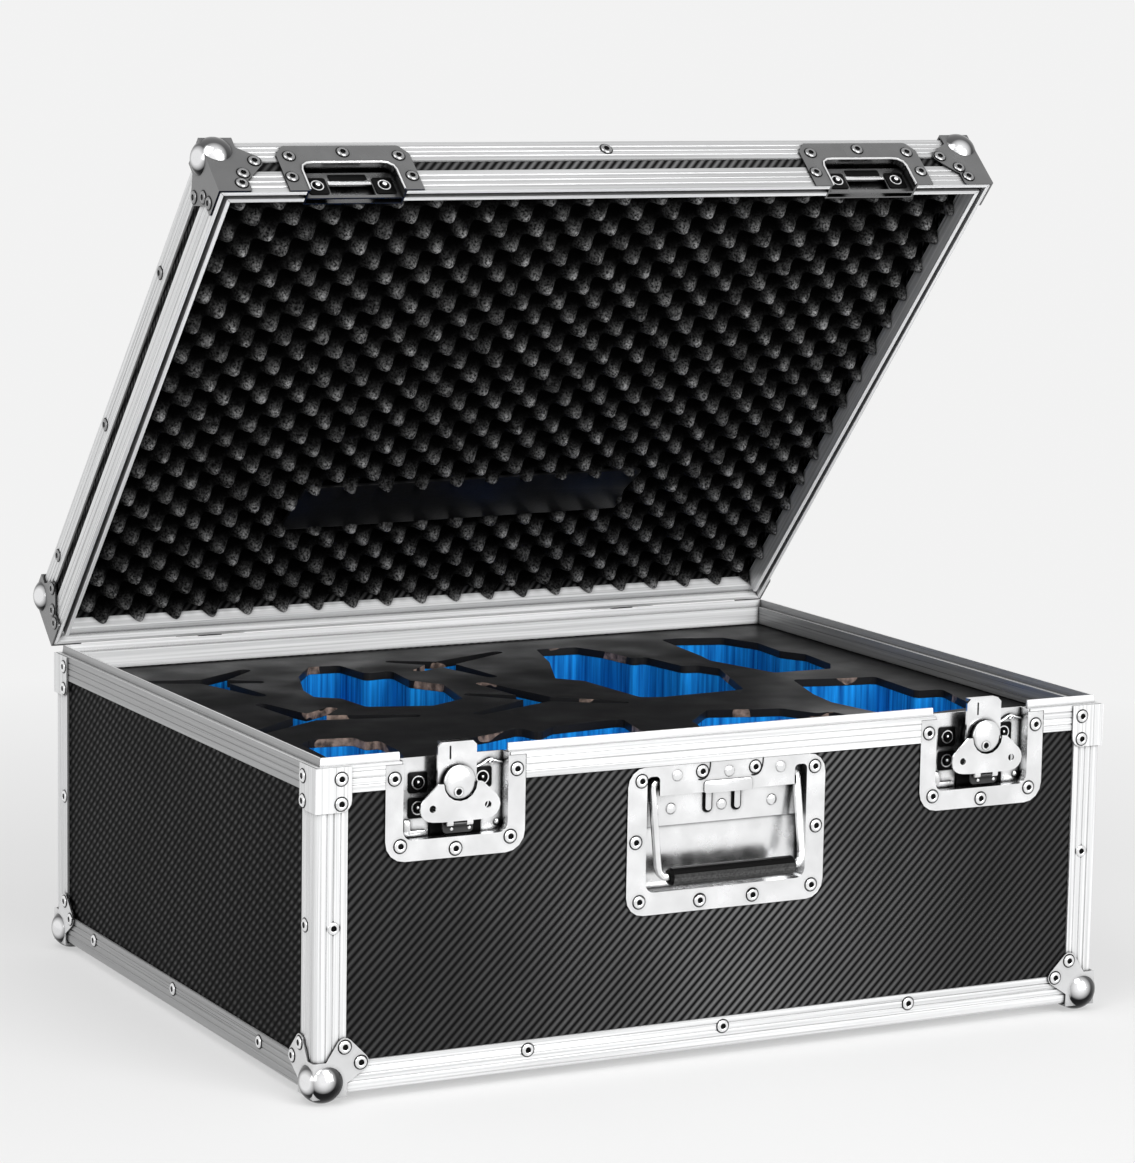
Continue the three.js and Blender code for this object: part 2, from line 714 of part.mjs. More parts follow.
// The butterfly wing about the rotor's axis: two round lobes joined round the disc.
function latchWing() {
  const front = -WING_BACK - WING_PLATE;
  const waist = outline([
    [-WING_FOOT_HALF, -WING_FOOT_REACH],
    [WING_FOOT_HALF, -WING_FOOT_REACH],
    [WING_LOBE_X, -WING_LOBE_REACH - WING_LOBE_RADIUS],
    [WING_LOBE_X + WING_LOBE_RADIUS * Math.SQRT1_2, WING_LOBE_RADIUS * Math.SQRT1_2 - WING_LOBE_REACH],
    [WING_SHOULDER, 0, WING_BARREL],
    [-WING_SHOULDER, 0, WING_BARREL],
    [-WING_LOBE_X - WING_LOBE_RADIUS * Math.SQRT1_2, WING_LOBE_RADIUS * Math.SQRT1_2 - WING_LOBE_REACH],
    [-WING_LOBE_X, -WING_LOBE_REACH - WING_LOBE_RADIUS],
  ]);
  const solids = [alongY(waist, front, -WING_BACK)];
  const holes = [barY(DISC_RADIUS + WING_NOTCH_PLAY, 0, 0, front - FIT, FIT - WING_BACK)];
  [-WING_LOBE_X, WING_LOBE_X].forEach((x) => {
    solids.push(barY(WING_LOBE_RADIUS, x, -WING_LOBE_REACH, front, -WING_BACK));
    holes.push(barY(WING_HOLE, x, -WING_LOBE_REACH, front - FIT, FIT - WING_BACK));
  });
  const barrels = [[-WING_BARREL_END, -WING_BARREL_HALF - FIT], [WING_BARREL_HALF + FIT, WING_BARREL_END]];
  barrels.forEach(([from, to]) => {
    const z = [-WING_HINGE_REACH, WING_BARREL - WING_FOOT_REACH];
    solids.push(barX(WING_BARREL, -WING_HINGE_OUT, -WING_HINGE_REACH, from, to));
    solids.push(block([from, to], [front, -WING_HINGE_OUT + FIT], z));
  });
  return join(solids).subtract(join(holes));
}

// The hook, from the parting and the front plane: a plate with a slot round the spindle and a lip
// bent inward at its top.
function latchHook() {
  const half = HOOK_WIDTH / 2;
  const slotHalf = SPINDLE_RADIUS + HOOK_SLOT_PLAY;
  const plate = outline([
    [-half, -HOOK_BOTTOM, HOOK_CHAMFER],
    [half, -HOOK_BOTTOM, HOOK_CHAMFER],
    [half, HOOK_TOP - HOOK_CHAMFER],
    [half - HOOK_CHAMFER, HOOK_TOP],
    [HOOK_CHAMFER - half, HOOK_TOP],
    [-half, HOOK_TOP - HOOK_CHAMFER],
  ]);
  plate.holes.push(outline([
    [-slotHalf, -HOOK_SLOT_BOTTOM, slotHalf - FIT],
    [slotHalf, -HOOK_SLOT_BOTTOM, slotHalf - FIT],
    [slotHalf, -HOOK_SLOT_TOP, slotHalf - FIT],
    [-slotHalf, -HOOK_SLOT_TOP, slotHalf - FIT],
  ], THREE.Path));
  const lipHalf = half - HOOK_CHAMFER;
  const lip = block(
    [-lipHalf, lipHalf],
    [-HOOK_PLATE / 2, HOOK_PLATE / 2 + HOOK_LIP],
    [HOOK_TOP - HOOK_PLATE, HOOK_TOP],
  );
  return alongY(plate, -HOOK_PLATE / 2, HOOK_PLATE / 2).add(lip);
}

// Handle: X from the middle of the front, Y inward from the front plane, Z from the parting

// The outside of the handle dish.
function handleCup() {
  const half = HANDLE_DISH_WIDTH / 2 + DISH_PLATE;
  const bottom = -HANDLE_DISH_BOTTOM - DISH_PLATE;
  const shape = outline([
    [-half, bottom, HANDLE_DISH_ROUND + DISH_PLATE],
    [half, bottom, HANDLE_DISH_ROUND + DISH_PLATE],
    [half, DISH_PLATE - HANDLE_DISH_TOP],
    [-half, DISH_PLATE - HANDLE_DISH_TOP],
  ]);
  return alongY(shape, 2 * FIT, HANDLE_DISH_DEPTH);
}

// The dish, its flange and the cover plate over the pivots, with a notch for each arm of the bail.
function handleDish() {
  const half = HANDLE_DISH_WIDTH / 2;
  const side = half + HANDLE_FLANGE_SIDE;
  const flangeTop = -RIM_HEIGHT - FIT;
  const flangeBottom = -HANDLE_DISH_BOTTOM - HANDLE_FLANGE_BOTTOM;
  const notchIn = BAIL_HALF_WIDTH - BAIL_RADIUS - NOTCH_PLAY;
  const flange = outline([
    [-side, flangeBottom, HANDLE_FLANGE_ROUND],
    [side, flangeBottom, HANDLE_FLANGE_ROUND],
    [side, flangeTop, HANDLE_FLANGE_ROUND],
    [-side, flangeTop, HANDLE_FLANGE_ROUND],
  ]);
  const mouth = outline([
    [-half, -HANDLE_DISH_BOTTOM, HANDLE_DISH_ROUND],
    [half, -HANDLE_DISH_BOTTOM, HANDLE_DISH_ROUND],
    [half, -COVER_NOTCH_TOP, HANDLE_DISH_ROUND / 2],
    [notchIn, -COVER_NOTCH_TOP, HANDLE_DISH_ROUND / 2],
    [notchIn, -COVER_BOTTOM],
    [-notchIn, -COVER_BOTTOM],
    [-notchIn, -COVER_NOTCH_TOP, HANDLE_DISH_ROUND / 2],
    [-half, -COVER_NOTCH_TOP, HANDLE_DISH_ROUND / 2],
  ]);
  const cavity = outline([
    [-half, -HANDLE_DISH_BOTTOM, HANDLE_DISH_ROUND],
    [half, -HANDLE_DISH_BOTTOM, HANDLE_DISH_ROUND],
    [half, -HANDLE_DISH_TOP],
    [-half, -HANDLE_DISH_TOP],
  ]);
  const back = HANDLE_DISH_DEPTH - DISH_PLATE;
  const ledge = block(
    [-half - FIT, half + FIT],
    [LEDGE_DEPTH, back + FIT],
    [-LEDGE_BOTTOM, FIT - HANDLE_DISH_TOP],
  );
  const ears = [-1, 1].map((hand) => {
    const middle = hand * (BAIL_END + EAR_PLAY + EAR_WIDTH / 2);
    return block(
      [middle - EAR_WIDTH / 2, middle + EAR_WIDTH / 2],
      [FIT + DISH_PLATE, LEDGE_DEPTH + FIT],
      [-BAIL_PIVOT_DROP - EAR_HALF, EAR_HALF - BAIL_PIVOT_DROP],
    );
  });
  const pivots = barX(BAIL_RADIUS + FIT, BAIL_PIVOT_IN, -BAIL_PIVOT_DROP, -half, half);
  return alongY(flange, FIT, FIT + DISH_FLANGE_PLATE)
    .subtract(alongY(mouth, 0, HANDLE_DISH_DEPTH))
    .add(handleCup().subtract(alongY(cavity, 0, back)))
    .add(ledge)
    .add(join(ears).subtract(pivots));
}

// A path through chosen points, with one ring of a rod's surface at each of them.
class RodPath extends THREE.Curve {
  constructor(points) {
    super();
    this.points = points;
  }

  getPointAt(u) {
    return this.points[Math.round(u * (this.points.length - 1))];
  }

  getTangentAt(u, target = new THREE.Vector3()) {
    const i = Math.round(u * (this.points.length - 1));
    const before = this.points[Math.max(i - 1, 0)];
    const after = this.points[Math.min(i + 1, this.points.length - 1)];
    return target.subVectors(after, before).normalize();
  }
}

// A round rod through the given points, whose inner ones are rounded by the given bends.
function rod(points, radius, bends) {
  const path = [points[0]];
  bends.forEach((bend, i) => {
    const [before, here, after] = points.slice(i, i + 3);
    const back = before.clone().sub(here).normalize();
    const ahead = after.clone().sub(here).normalize();
    const start = here.clone().addScaledVector(back, bend);
    const end = here.clone().addScaledVector(ahead, bend);
    path.push(...new THREE.QuadraticBezierCurve3(start, here, end).getPoints(ARC_STEPS + 1));
  });
  path.push(points[points.length - 1]);
  const section = new THREE.Shape().absarc(0, 0, radius, 0, 2 * Math.PI);
  const settings = { extrudePath: new RodPath(path), steps: path.length - 1, curveSegments: ROD_SIDES / 2 };
  return solid(new THREE.ExtrudeGeometry(section, settings));
}

// The bail: both ends turn in to their pivots, the arms lean out and the foot passes the grip.
function handleBail() {
  const pivot = (x) => new THREE.Vector3(x, BAIL_PIVOT_IN, -BAIL_PIVOT_DROP);
  const foot = (x) => new THREE.Vector3(x, -GRIP_OUT, -GRIP_DROP);
  const points = [
    pivot(-BAIL_END),
    pivot(-BAIL_HALF_WIDTH),
    foot(-BAIL_HALF_WIDTH),
    foot(BAIL_HALF_WIDTH),
    pivot(BAIL_HALF_WIDTH),
    pivot(BAIL_END),
  ];
  const top = BAIL_RADIUS + BAIL_ABOVE_PIVOT;
  return rod(points, BAIL_RADIUS, [top, BAIL_BEND, BAIL_BEND, top]);
}

function handleGrip() {
  const bore = BAIL_RADIUS + FIT;
  const half = GRIP_LENGTH / 2;
  const soft = GRIP_RADIUS / 4;
  const profile = [
    [bore, -half],
    [GRIP_RADIUS - soft, -half],
    [GRIP_RADIUS, soft - half],
    [GRIP_RADIUS, half - soft],
    [GRIP_RADIUS - soft, half],
    [bore, half],
    [bore, -half],
  ].map(([x, y]) => new THREE.Vector2(x, y));
  const geometry = new THREE.LatheGeometry(profile, ROUND_SIDES);
  return solid(geometry.rotateZ(Math.PI / 2).translate(0, -GRIP_OUT, -GRIP_DROP));
}

// Hinges: X along the pin, Y to the back, Z up, from the middle of the pin

// A leaf that hangs below the pin, with knuckles over the given stretches of it.
function hingeLeaf(stretches) {
  const back = FIT - HINGE_OUT;
  const half = HINGE_WIDTH / 2;
  const plate = block(
    [-half, half],
    [back, back + HINGE_LEAF],
    [-HINGE_LEAF_START - HINGE_LEAF_HEIGHT, -HINGE_LEAF_START],
  );
  const arm = outline([
    [back, -HINGE_LEAF_START - KNUCKLE_RADIUS],
    [0, -KNUCKLE_RADIUS],
    [0, 0],
    [back, -HINGE_LEAF_START],
  ]);
  return join([plate, ...stretches.flatMap(([from, to]) => [
    barX(KNUCKLE_RADIUS, 0, 0, from, to),
    alongX(arm, from, to),
  ])]);
}

// The lower leaf carries the pin between its two knuckles.
function lowerLeaf() {
  const half = HINGE_WIDTH / 2;
  return hingeLeaf([[-half, -KNUCKLE_HALF], [KNUCKLE_HALF, half]]).add(barX(PIN_RADIUS, 0, 0, -half, half));
}

// The upper leaf has one bored knuckle between those two.
function upperLeaf() {
  const half = KNUCKLE_HALF - FIT;
  return hingeLeaf([[-half, half]]).subtract(barX(PIN_RADIUS + FIT, 0, 0, -KNUCKLE_HALF, KNUCKLE_HALF));
}

// Foam

// Pockets of the cut foam, drawn looking down on a sheet of the layout's size, about its middle.
const POCKETS = {
  airframe: [
    [-113, 2], [-79, 20], [-66, 81], [-83, 107], [-78, 152], [-102, 148], [-106, 190],
    [-132, 192], [-157, 155], [-178, 98], [-182, 69], [-165, 56], [-162, 17],
  ],
  controller: [
    [51, -26], [67, -32], [143, -27], [172, 62], [163, 82], [150, 84], [142, 134],
    [130, 130], [124, 170], [112, 196], [76, 199], [58, 140], [28, 72], [44, 54],
  ],
  camera: [
    [204, 29], [256, 28], [268, 48], [273, 95], [261, 117], [264, 158], [250, 193],
    [213, 204], [196, 203], [188, 121], [184, 98], [195, 61],
  ],
  charger: [
    [189, -156], [221, -169], [272, -160], [289, -86], [266, -84], [270, -17],
    [243, -14], [201, -4], [183, -66], [178, -101],
  ],
  batteries: [
    [60, -205], [148, -205], [164, -160], [157, -135], [144, -137], [128, -109],
    [110, -105], [72, -93], [39, -129], [34, -151],
  ],
  goggles: [
    [-160, -208], [-22, -208], [-3, -162], [-15, -149], [-5, -100], [-68, -108],
    [-89, -127], [-93, -103], [-127, -119], [-173, -134],
  ],
  cables: [
    [-272, -190], [-226, -194], [-212, -146], [-210, -108], [-221, -112], [-222, -91],
    [-255, -86], [-267, -100],
  ],
};

// Slots for folded arms and blades: a hub and the tips that run out from it.
const SLOTS = {
  front_left: { hub: [-221, -8], tips: [[-232, 54], [-190, 20], [-282, -50], [-144, -30]] },
  front_right: { hub: [-22, -4], tips: [[-36, 73], [-94, -40], [-66, 34], [28, -40]] },
  back_left: { hub: [-231, 161], tips: [[-280, 177], [-186, 196], [-217, 92], [-196, 145]] },
  back_right: { hub: [-27, 166], tips: [[-60, 190], [39, 198], [-15, 100], [-56, 146]] },
};
const SLOT_WIDTH = 10;

// Stretches a place on the layout to the foam in the case.
function laidOut([x, y]) {
  const foam = foamPlan();
  return [(x * 2 * foam.x) / LAYOUT_WIDTH, (y * 2 * foam.y) / LAYOUT_DEPTH];
}

// Half the length and half the depth of the base foam.
function foamPlan() {
  const inset = WALL_INNER + FOAM_PLAY;
  return { x: CASE_WIDTH / 2 - inset, y: CASE_DEPTH / 2 - inset };
}

// All slots as solids between two heights: a round-ended bar for each tip.
function slotCutters(z) {
  const bars = Object.values(SLOTS).flatMap(({ hub, tips }) => tips.map((tip) => {
    const from = new THREE.Vector2(...laidOut(hub));
    const to = new THREE.Vector2(...laidOut(tip));
    const angle = to.clone().sub(from).angle();
    const bar = new THREE.Shape();
    bar.absarc(to.x, to.y, SLOT_WIDTH / 2, angle - Math.PI / 2, angle + Math.PI / 2);
    bar.absarc(from.x, from.y, SLOT_WIDTH, angle + Math.PI / 2, angle + 1.5 * Math.PI);
    bar.closePath();
    return alongZ(bar, ...z, FOAM_ARC_STEPS);
  }));
  return join(bars);
}

function pocketCutters(z) {
  return join(Object.values(POCKETS).map((corners) => {
    return alongZ(outline(corners.map(laidOut)), ...z);
  }));
}

// Foam between two heights, clear of the walls and notched behind each dish.
function fittedFoam([bottom, top]) {
  const { x, y } = foamPlan();
  return block([-x, x], [-y, y], [bottom, top]).subtract(frontRooms(FOAM_NOTCH_PLAY));
}

// The layer of foam that the pockets and slots go right through.
function foamBlock() {
  const top = PARTING - FOAM_DROP - FOAM_SHEET - FIT;
  const through = [top - POCKET_DEPTH - FIT, top + FIT];
  return fittedFoam([top - POCKET_DEPTH, top])
    .subtract(pocketCutters(through))
    .subtract(slotCutters(through));
}

// The plain layer under it, which is the floor of the pockets.
function foamBase() {
  const { x, y } = foamPlan();
  const top = PARTING - FOAM_DROP - FOAM_SHEET - FIT - POCKET_DEPTH - FIT;
  return block([-x, x], [-y, y], [PANEL + FOAM_PLAY, top]);
}

function foamSheet() {
  const top = PARTING - FOAM_DROP;
  const through = [top - FOAM_SHEET - FIT, top + FIT];
  return fittedFoam([top - FOAM_SHEET, top])
    .subtract(pocketCutters(through))
    .subtract(slotCutters(through));
}

// The lid foam: a flat back and an egg-crate face of staggered peaks, notched behind the dishes.
function lidFoam() {
  const inset = RIM_WIDTH + FOAM_PLAY;
  const x = CASE_WIDTH / 2 - inset;
  const y = CASE_DEPTH / 2 - inset;
  const top = LID_HEIGHT - PANEL_SET - PANEL - FIT;
  const across = 2 * Math.round((2 * x) / EGG_PITCH);
  const deep = 2 * Math.round((2 * y) / EGG_PITCH);
  const positions = [];
  const triangles = [];
  const face = (i, j) => i * (deep + 1) + j;
  for (let i = 0; i <= across; i += 1) {
    for (let j = 0; j <= deep; j += 1) {
      const height = (i + j) % 2 === 0 ? EGG_PEAK : EGG_VALLEY;
      positions.push((2 * x * i) / across - x, (2 * y * j) / deep - y, height);
    }
  }
  for (let i = 0; i < across; i += 1) {
    for (let j = 0; j < deep; j += 1) {
      const [a, b, c, d] = [face(i, j), face(i + 1, j), face(i + 1, j + 1), face(i, j + 1)];
      if ((i + j) % 2 === 0) triangles.push(a, d, b, b, d, c);
      else triangles.push(a, c, b, a, d, c);
    }
  }
  const edge = [];
  for (let i = 0; i < across; i += 1) edge.push(face(i, 0));
  for (let j = 0; j < deep; j += 1) edge.push(face(across, j));
  for (let i = across; i > 0; i -= 1) edge.push(face(i, deep));
  for (let j = deep; j > 0; j -= 1) edge.push(face(0, j));
  const backStart = positions.length / 3;
  edge.forEach((corner) => positions.push(positions[3 * corner], positions[3 * corner + 1], top));
  const middle = positions.length / 3;
  positions.push(0, 0, top);
  edge.forEach((corner, k) => {
    const following = (k + 1) % edge.length;
    const [low, high] = [backStart + k, backStart + following];
    triangles.push(corner, edge[following], high, corner, high, low);
    triangles.push(low, high, middle);
  });
  const geometry = new THREE.BufferGeometry();
  geometry.setAttribute('position', new THREE.Float32BufferAttribute(positions, 3));
  geometry.setIndex(triangles);
  const notches = [-LATCH_X, LATCH_X].map((place) => lidCup(FOAM_NOTCH_PLAY).translate(place, 0, 0));
  return solid(geometry).subtract(join(notches).translate(0, -SIDES.front.reach, 0));
}

// Assembly

// Fittings of the front sit from the middle of the front plane at the parting line.
function onFront(mesh, x, drop = 0) {
  mesh.position.set(x, -CASE_DEPTH / 2, PARTING - drop);
  return mesh;
}

function buildBase() {
  const base = new THREE.Group();
  base.add(piece('floor_panel', floorPanel(), LAMINATE));
  base.add(piece('front_panel', frontPanel(), LAMINATE));
  Object.entries(SIDES).forEach(([name, side]) => {
    const fittings = new THREE.Group();
    fittings.rotation.z = side.turn;
    fittings.add(piece(`bottom_edge_${name}`, bottomEdge(side), ALUMINIUM));
    if (name !== 'front') {
      const endInset = name === 'back' ? PANEL_SET : WALL_INNER + FIT;
      fittings.add(piece(`${name}_panel`, basePanel(side, endInset), LAMINATE));
      fittings.add(piece(`base_rim_${name}`, baseRim(side), ALUMINIUM));
    }
    base.add(fittings);
  });
  Object.entries(frontRims()).forEach(([place, rim]) => {
    base.add(piece(`base_rim_front_${place}`, rim, ALUMINIUM));
  });
  Object.entries(CORNERS).forEach(([name, { turn, x, y }]) => {
    const corner = new THREE.Group();
    corner.position.set((x * CASE_WIDTH) / 2, (y * CASE_DEPTH) / 2, UNDERSIDE);
    corner.rotation.z = turn;
    corner.add(piece(`corner_post_${name}`, cornerPost(), ALUMINIUM));
    corner.add(piece(`ball_corner_${name}`, ballCorner(), CHROME));
    base.add(corner);
  });
  base.add(onFront(piece('handle_dish', handleDish(), ZINC), 0));
  base.add(piece('foam_block', foamBlock(), BLUE_FOAM));
  base.add(piece('foam_base', foamBase(), BLUE_FOAM));
  base.add(piece('foam_top_sheet', foamSheet(), BLACK_FOAM));
  return base;
}

function buildHandle() {
  const handle = new THREE.Group();
  handle.add(onFront(piece('handle_bail', handleBail(), ZINC), 0));
  handle.add(onFront(piece('handle_grip', handleGrip(), RUBBER), 0));
  return handle;
}

function buildLatch(hand, x) {
  const latch = new THREE.Group();
  latch.add(onFront(piece(`latch_dish_${hand}`, latchDish(), ZINC), x));
  latch.add(onFront(piece(`latch_hook_${hand}`, latchHook(), ZINC), x));
  latch.add(onFront(piece(`latch_rotor_${hand}`, latchRotor(), ZINC), x, ROTOR_DROP));
  latch.add(onFront(piece(`latch_wing_${hand}`, latchWing(), ZINC), x, ROTOR_DROP));
  return latch;
}

function buildHinge(hand, x) {
  const leaf = piece(`hinge_lower_leaf_${hand}`, lowerLeaf(), ZINC);
  leaf.position.set(x, CASE_DEPTH / 2 + HINGE_OUT, PARTING - HINGE_DROP);
  return leaf;
}

// The lid, built closed with Z from the parting line, then opened about the hinge pins.
function buildLid() {
  const closed = new THREE.Group();
  closed.position.set(0, -CASE_DEPTH / 2 - HINGE_OUT, HINGE_DROP);
  closed.add(piece('lid_top_panel', lidTopPanel(), LAMINATE));
  closed.add(piece('lid_walls', lidWalls(), LAMINATE));
  closed.add(piece('lid_foam', lidFoam(), BLACK_FOAM));
  Object.entries(SIDES).forEach(([name, side]) => {
    const fittings = new THREE.Group();
    fittings.rotation.z = side.turn;
    fittings.add(piece(`lid_edge_${name}`, lidTopEdge(side), ALUMINIUM));
    if (name === 'back') fittings.add(piece('lid_rim_back', lidRim(side, false), ALUMINIUM));
    if (name === 'left') fittings.add(piece('lid_rim_left', lidSideRim(side, -1), ALUMINIUM));
    if (name === 'right') fittings.add(piece('lid_rim_right', lidSideRim(side, 1), ALUMINIUM));
    closed.add(fittings);
  });
  Object.entries(lidFrontRims()).forEach(([place, rim]) => {
    closed.add(piece(`lid_rim_front_${place}`, rim, ALUMINIUM));
  });
  Object.entries(CORNERS).forEach(([name, { turn, x, y }]) => {
    const corner = new THREE.Group();
    corner.position.set((x * CASE_WIDTH) / 2, (y * CASE_DEPTH) / 2, LID_HEIGHT);
    corner.rotation.z = turn;
    const mesh = piece(`lid_corner_${name}`, lidCorner(), CHROME);
    mesh.rotation.set(Math.PI, 0, -Math.PI / 2);
    corner.add(mesh);
    closed.add(corner);
  });
  [['left', -1], ['right', 1]].forEach(([hand, sign]) => {
    const dish = piece(`lid_latch_dish_${hand}`, lidLatchDish(), ZINC);
    dish.position.set(sign * LATCH_X, -CASE_DEPTH / 2, 0);
    const leaf = piece(`hinge_upper_leaf_${hand}`, upperLeaf(), ZINC);
    leaf.position.set(sign * HINGE_X, CASE_DEPTH / 2 + HINGE_OUT, -HINGE_DROP);
    leaf.rotation.y = Math.PI;
    closed.add(dish, leaf);
  });
  const lid = new THREE.Group();
  lid.position.set(0, CASE_DEPTH / 2 + HINGE_OUT, PARTING - HINGE_DROP);
  lid.rotation.x = -THREE.MathUtils.degToRad(LID_OPEN_ANGLE);
  lid.add(closed);
  return lid;
}

const flightCase = new THREE.Group();
flightCase.name = 'flight_case';
flightCase.add(buildBase(), buildHandle(), buildLid());
flightCase.add(buildLatch('left', -LATCH_X), buildLatch('right', LATCH_X));
flightCase.add(buildHinge('left', -HINGE_X), buildHinge('right', HINGE_X));

export default flightCase;
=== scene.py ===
# %% [markdown]
# # An open flight case with fitted foam
#
# A flight case is a plywood box with a tough plastic skin, held together by aluminium edges,
# pressed steel corners and hundreds of small rivets. This lesson dresses a ready CAD model of
# such a case: the CAD holds every panel, edge, latch and hinge, and we add what the CAD leaves
# out, which is rivets, ribbed skin, drawn metal and real-looking foam.

import json
import math

import bmesh
import bpy
import numpy as np
from mathutils import Matrix, Vector
from mathutils.bvhtree import BVHTree


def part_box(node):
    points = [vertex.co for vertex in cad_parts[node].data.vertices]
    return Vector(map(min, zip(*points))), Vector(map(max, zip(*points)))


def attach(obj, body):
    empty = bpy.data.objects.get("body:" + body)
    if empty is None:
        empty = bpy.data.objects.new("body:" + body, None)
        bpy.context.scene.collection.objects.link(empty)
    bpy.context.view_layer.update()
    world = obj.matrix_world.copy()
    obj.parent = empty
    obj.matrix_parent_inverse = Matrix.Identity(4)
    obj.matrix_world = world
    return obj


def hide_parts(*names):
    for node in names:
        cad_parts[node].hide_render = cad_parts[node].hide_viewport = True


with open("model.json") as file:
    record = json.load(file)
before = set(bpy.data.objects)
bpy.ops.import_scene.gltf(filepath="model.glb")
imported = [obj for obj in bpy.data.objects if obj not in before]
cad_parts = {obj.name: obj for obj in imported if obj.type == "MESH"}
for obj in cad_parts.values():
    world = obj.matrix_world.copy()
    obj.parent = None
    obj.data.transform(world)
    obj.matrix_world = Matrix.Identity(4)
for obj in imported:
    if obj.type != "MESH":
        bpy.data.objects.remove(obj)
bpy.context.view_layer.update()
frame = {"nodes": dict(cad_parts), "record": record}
nodes = frame["nodes"]
print("CAD nodes:", len(nodes))

# %% [markdown]
# ## Sizes
#
# Everything is in metres in the case's own frame: X runs along the hinge, Y to the back and Z up,
# from the middle of the floor panel's underside. The lid stands open by 48 degrees about its
# hinge line, so points of the lid are worked out as if it were closed and then turned.

# %% Sizes repeated from the CAD, in metres
MM = 0.001
CASE_HALF = 0.325
CASE_FRONT = -0.254
UNDERSIDE = -0.0021
PARTING = 0.2299
LID_ANGLE = math.radians(48)
HINGE_Y = 0.262
HINGE_Z = 0.2264

# %% The same in millimetres, for what is laid out on the walls
HALF, FRONT = CASE_HALF / MM, CASE_FRONT / MM
LID_HEIGHT = 52
LATCH_AT = 218.5
HINGE_AT = 190


def opened(points):
    """Turn closed-lid points, in metres with z from the parting line, to where the lid stands.

    The lid turns about X by minus the opening angle: y' = cos y + sin z and z' = cos z - sin y,
    both measured from the hinge line, which lies a little below the parting line.
    """
    points = np.asarray(points, float)
    y = points[..., 1] - HINGE_Y
    z = points[..., 2] + PARTING - HINGE_Z
    cos, sin = math.cos(LID_ANGLE), math.sin(LID_ANGLE)
    turned = [points[..., 0], HINGE_Y + cos * y + sin * z, HINGE_Z + cos * z - sin * y]
    return np.stack(turned, axis=-1)


print("Lid front edge at", np.round(opened([0, CASE_FRONT, 0]), 4))

# %% [markdown]
# ## Making meshes from arrays
#
# Each new piece is a grid of points worked out with numpy. A grid with R rows and C columns gives
# quads between neighbouring points; closing it joins the last column to the first, which is how a
# sheet of numbers becomes a tube, a ring or a rivet head.

# %% Mesh helpers
def grid_faces(rows, columns, closed=False):
    """Corner numbers of the quads of a grid. Quad (i, j) joins row i to i+1 and column j to j+1."""
    spans = columns if closed else columns - 1
    i, j = np.meshgrid(np.arange(rows - 1), np.arange(spans), indexing="ij")
    k = (j + 1) % columns
    low, high = i * columns, (i + 1) * columns
    return np.stack([low + j, low + k, high + k, high + j], axis=-1).reshape(-1, 4)


def linked(name, data):
    """A new object at the origin, put into the scene."""
    thing = bpy.data.objects.new(name, data)
    bpy.context.scene.collection.objects.link(thing)
    return thing


def loose_object(name, points, faces):
    mesh = bpy.data.meshes.new(name)
    mesh.from_pydata(np.asarray(points, float).tolist(), [], faces)
    return linked(name, mesh)


def put_piece(name, points, quads, body, slot, material):
    """Fill a mesh from arrays, give it one material, and let it ride on a CAD body."""
    faces = quads.tolist() if isinstance(quads, np.ndarray) else quads
    piece = loose_object(name, points, faces)
    mesh = piece.data
    mesh.polygons.foreach_set("use_smooth", [True] * len(mesh.polygons))
    mesh.materials.append(material)
    mesh.validate()
    mesh.update()
    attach(piece, body)
    print(name, "has", len(mesh.polygons), "faces")
    return piece


def copies(points, quads, frames):
    """Repeat one shape: each frame is a 3 x 4 array of its x, y and z directions and its place."""
    frames = np.asarray(frames, float)
    moved = np.einsum("nij,pj->npi", frames[:, :, :3], points) + frames[:, None, :, 3]
    steps = np.arange(len(frames))[:, None, None] * len(points)
    return moved.reshape(-1, 3), (np.asarray(quads)[None] + steps).reshape(-1, quads.shape[1])


def standing(place, normal):
    """A frame at a place with z along the normal; x and y come from cross products with it."""
    z = np.asarray(normal, float) / np.linalg.norm(normal)
    x = np.cross([0.0, 1.0, 0.0] if abs(z[1]) < 0.9 else [1.0, 0.0, 0.0], z)
    x /= np.linalg.norm(x)
    return np.stack([x, np.cross(z, x), z, np.asarray(place, float)], axis=1)


def lathe(profile, sides):
    """Turn a profile of (radius, height) pairs about z: x = r cos a, y = r sin a."""
    radius, height = np.asarray(profile, float)[:, None].transpose(2, 0, 1)
    angle = np.arange(sides) * 2 * math.pi / sides
    height = np.repeat(height, sides, axis=1)
    rings = np.stack([radius * np.cos(angle), radius * np.sin(angle), height], axis=-1)
    return rings.reshape(-1, 3), grid_faces(len(profile), sides, closed=True)


# %% [markdown]
# ## Finishes
#
# A finish is a small network of nodes. The helper below starts each one from the Principled
# shader, whose constant values are set on its own sockets, and adds texture nodes that read the
# Object coordinates. Those are metres in the case's frame, so a pattern has its real size.

